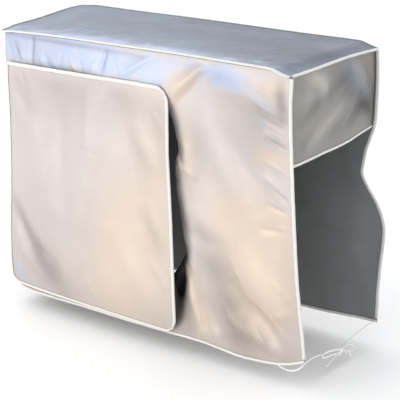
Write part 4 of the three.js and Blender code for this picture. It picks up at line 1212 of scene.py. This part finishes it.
def stitch_piece(name, stations):
    """Stitches through a tape, on both faces of it: short closed spindles of thread, one every
    pitch, as thick as the thread at their two middle rings and narrower at the outer ones."""
    run = stations["run"]
    middles = np.arange(STITCH, run[-1] - STITCH, STITCH)
    angle = np.linspace(0, 2 * np.pi, STITCH_SIDES, endpoint=False)
    thick = SPINDLE["thick"][:, None]
    side = np.concatenate([(thick * np.cos(angle)).ravel() * THREAD, [0, 0]])
    high = (thick * np.sin(angle)).ravel() * THREAD * STITCH_FLAT
    high = np.concatenate([high, [STITCH_SINK, STITCH_SINK]])
    along_stitch = np.concatenate([np.repeat(SPINDLE["at"], STITCH_SIDES), [-0.5, 0.5]]) * STITCH_LONG
    at = (middles[:, None] + along_stitch[None]).ravel()
    local = {key: np.stack([np.interp(at, run, stations[key][:, k]) for k in range(3)], axis=-1)
             for key in ("edge", "inside", "up", "up_inside")}
    reach = np.tile(-STITCH_IN + side, len(middles))[:, None]
    height = np.tile(OVER + STITCH_LIFT + high, len(middles))[:, None]
    points = np.concatenate([on_tape(local, reach, sense * height)[:, 0] for sense in (1, -1)])
    count = len(along_stitch)
    spindle = tube_faces(len(thick), STITCH_SIDES)
    faces = [[vertex + first for vertex in face] for first in range(0, len(points), count)
             for face in spindle]
    uv = np.stack([points[:, 0] + points[:, 1], points[:, 2]], axis=-1)
    piece = mesh_object(name, points, faces, uv, [thread_white])
    face_outward(piece)
    return dress(piece, None)


# Cloth panels.
FINISHES = [outer_silver, inner_cloth_grey_with_painted_shade]
# The top's finishes carry painted sky reflection and painted shade; those of the back and the two sides
# carry painted shade.
PAINTED_SKY_FINISHES = [top_coat_painted_sky_and_shade, inner_cloth_grey_with_painted_shade]
PAINTED_SHADE_FINISHES = [coat_painted_shade, inner_cloth_grey_with_painted_shade]
# For each panel: its place, which way its cross product faces out, its width and height, the
# grid's spacing, its finishes, its lines of painted light and which two coordinates those are read by.
PANELS = {
    "top": ("top_cloth", "top_panel", top_place, 1, (WIDTH, DEPTH), 3.6, PAINTED_SKY_FINISHES, TOP_PAINTED_LIGHT,
            (0, 1)),
    "front": ("front_cloth", "front_panel", front_place, -1, (FRONT_WIDTH, DROP), 3.2, FINISHES,
              FRONT_PAINTED_LIGHT, (0, 2), True),
    "back": ("back_cloth", "back_panel", back_place, 1, (WIDTH, DROP), 5.0, PAINTED_SHADE_FINISHES,
             NO_PAINTED_LIGHT, (0, 2)),
    "side": ("right_side_cloth", "right_side_panel", side_place, -1, (SIDE_WIDTH, SIDE_LENGTH), 3.0,
             PAINTED_SHADE_FINISHES, SIDE_PAINTED_LIGHT, (1, 2)),
    "left": ("left_side_cloth", "left_side_panel", left_place, 1, (SIDE_WIDTH, DROP), 5.0,
             PAINTED_SHADE_FINISHES, NO_PAINTED_LIGHT, (1, 2)),
    "flap": ("flap_cloth", "front_flap", flap_place, -1, (FLAP_WIDTH, FLAP_HEIGHT), 3.0, FINISHES,
             FLAP_PAINTED_LIGHT, (0, 2)),
}
cloths = {key: cloth_piece(*facts) for key, facts in PANELS.items()}

SAMPLES = 500
RISE = np.linspace(0, 1, SAMPLES)
RING_GAP = 3.2  # from the end of the flap's binding up to its start


def straight(panel, which, first, last, inside):
    """Stations along one side of a panel, from share to share, with the inside edge's share."""
    place, outward = PANELS[panel][2:4]
    t = mix(first, last, RISE)
    fixed = {"left": 0, "right": 1, "top": 0, "bottom": 1}[which] + 0 * t
    inner = inside + 0 * t
    if which in ("left", "right"):
        return edge_stations(place, outward, fixed, t, inner, t)
    return edge_stations(place, outward, t, fixed, t, inner)


def flap_ring():
    """Stations all the way round the flap, clockwise seen from the front, from its top left."""
    u = np.concatenate([RISE, 1 + 0 * RISE, 1 - RISE, 0 * RISE])
    v = np.concatenate([0 * RISE, RISE, 1 + 0 * RISE, mix(1, RING_GAP / FLAP_HEIGHT, RISE)])
    across = FIN / FLAP_WIDTH
    inside_u = np.clip(u, across, 1 - across)
    inside_v = np.clip(v, FLAP_STRIP / FLAP_HEIGHT, 1 - FIN / FLAP_HEIGHT)
    inside_u[:SAMPLES // 2] = u[:SAMPLES // 2]
    return edge_stations(flap_place, -1, u, v, inside_u, inside_v)


NEAR = FIN + GAP  # where a binding stops short of the one that it meets
EDGES = {
    "top_front": straight("top", "top", 0, 1, FIN / DEPTH),
    "top_back": straight("top", "bottom", 0, 1, 1 - FIN / DEPTH),
    "top_left": straight("top", "left", NEAR / DEPTH, 1 - NEAR / DEPTH, FIN / WIDTH),
    "top_right": straight("top", "right", NEAR / DEPTH, 1 - NEAR / DEPTH, 1 - FIN / WIDTH),
    "front_left": straight("front", "left", 0, 1 - NEAR / DROP, FIN / FRONT_WIDTH),
    "front_right": straight("front", "right", 0, 1 - NEAR / DROP, 1 - FIN / FRONT_WIDTH),
    "back_left": straight("back", "left", 0, 1 - NEAR / DROP, FIN / WIDTH),
    "back_right": straight("back", "right", 0, 1 - NEAR / DROP, 1 - FIN / WIDTH),
    "front_hem": straight("front", "bottom", 0, 1, 1 - FIN / DROP),
    "back_hem": straight("back", "bottom", 0, 1, 1 - FIN / DROP),
    "side_hem": straight("side", "bottom", 0, 1, 1 - FIN / SIDE_DROP_FRONT),
    "left_hem": straight("left", "bottom", 0, 1, 1 - FIN / DROP),
    "flap": flap_ring(),
}
tapes = {key: tape_piece(key + "_tape", key + "_binding", stations) for key, stations in EDGES.items()}
seams = {key: stitch_piece(key + "_stitching", stations) for key, stations in EDGES.items()}


# Studio: a plain pale floor, soft light from all round and a warm broad light from the front left.
FLOOR_HALF = 9000


def make_floor():
    """A broad flat floor just below the loose ends. It glows a little, which softens the shadow."""
    corners = np.array([[-1, -1], [1, -1], [1, 1], [-1, 1]]) * FLOOR_HALF
    corners = point(corners[:, 0], corners[:, 1], FLOOR_Z)
    made, shader, node, join = new_material("floor_paint")
    grain = noise(node, node("ShaderNodeTexCoord").outputs["Object"], scale=3.0, detail=2.0)
    join(blend(node, grain, (0.94, 0.925, 0.90, 1), (0.96, 0.945, 0.92, 1)), "Base Color")
    shader.inputs["Roughness"].default_value = 0.9
    shader.inputs["Emission Color"].default_value = (1.0, 0.985, 0.96, 1)
    shader.inputs["Emission Strength"].default_value = 0.05
    floor = mesh_object("floor", corners, [[0, 1, 2, 3]], finishes=[made])


LOW_SKY = (1.0, 1.0, 1.0, 1)
HIGH_SKY = (0.93, 0.96, 1.01, 1)
SKY_LEFT = 1.42  # the sky's strength towards -X
SKY_RIGHT = 1.0  # and towards +X


def make_sky():
    """Light from all round: white low down, slightly cool overhead, and dimmer towards +X."""
    world = bpy.data.worlds.new("studio_air")
    bpy.context.scene.world = world
    world.use_nodes = True
    tree = world.node_tree
    background = tree.nodes["Background"]
    node = node_maker(tree)
    direction = node("ShaderNodeTexCoord").outputs["Generated"]
    parts = node("ShaderNodeSeparateXYZ", {"Vector": direction}).outputs
    colour = blend(node, spread(node, parts["Z"], 0.0, 0.6), LOW_SKY, HIGH_SKY)
    tree.links.new(colour, background.inputs["Color"])
    strength = spread(node, parts["X"], -1.0, 1.0, SKY_LEFT, SKY_RIGHT)
    tree.links.new(strength, background.inputs["Strength"])


def area_light(name, place, aim, size, colour, power):
    """A broad soft light at a place, turned towards a point."""
    data = bpy.data.lights.new(name, "AREA")
    data.shape = "RECTANGLE"
    data.size = size[0]
    data.size_y = size[1]
    data.color = colour
    data.energy = power
    light = bpy.data.objects.new(name, data)
    bpy.context.scene.collection.objects.link(light)
    back = unit(np.array(place, float) - np.array(aim, float))
    right = unit(np.cross(Z_AXIS, back))
    up = np.cross(back, right)
    turned = Matrix(np.stack([right, up, back], axis=-1).tolist()).to_4x4()
    turned.translation = place
    light.matrix_world = turned


make_floor()
make_sky()
area_light("front_light", place=(-1.2, -2.7, -0.1), aim=(0.0, -0.13, -0.35), size=(2.2, 1.2),
           colour=(1.0, 0.94, 0.87), power=30.5)
bpy.context.scene.view_settings.view_transform = "Standard"
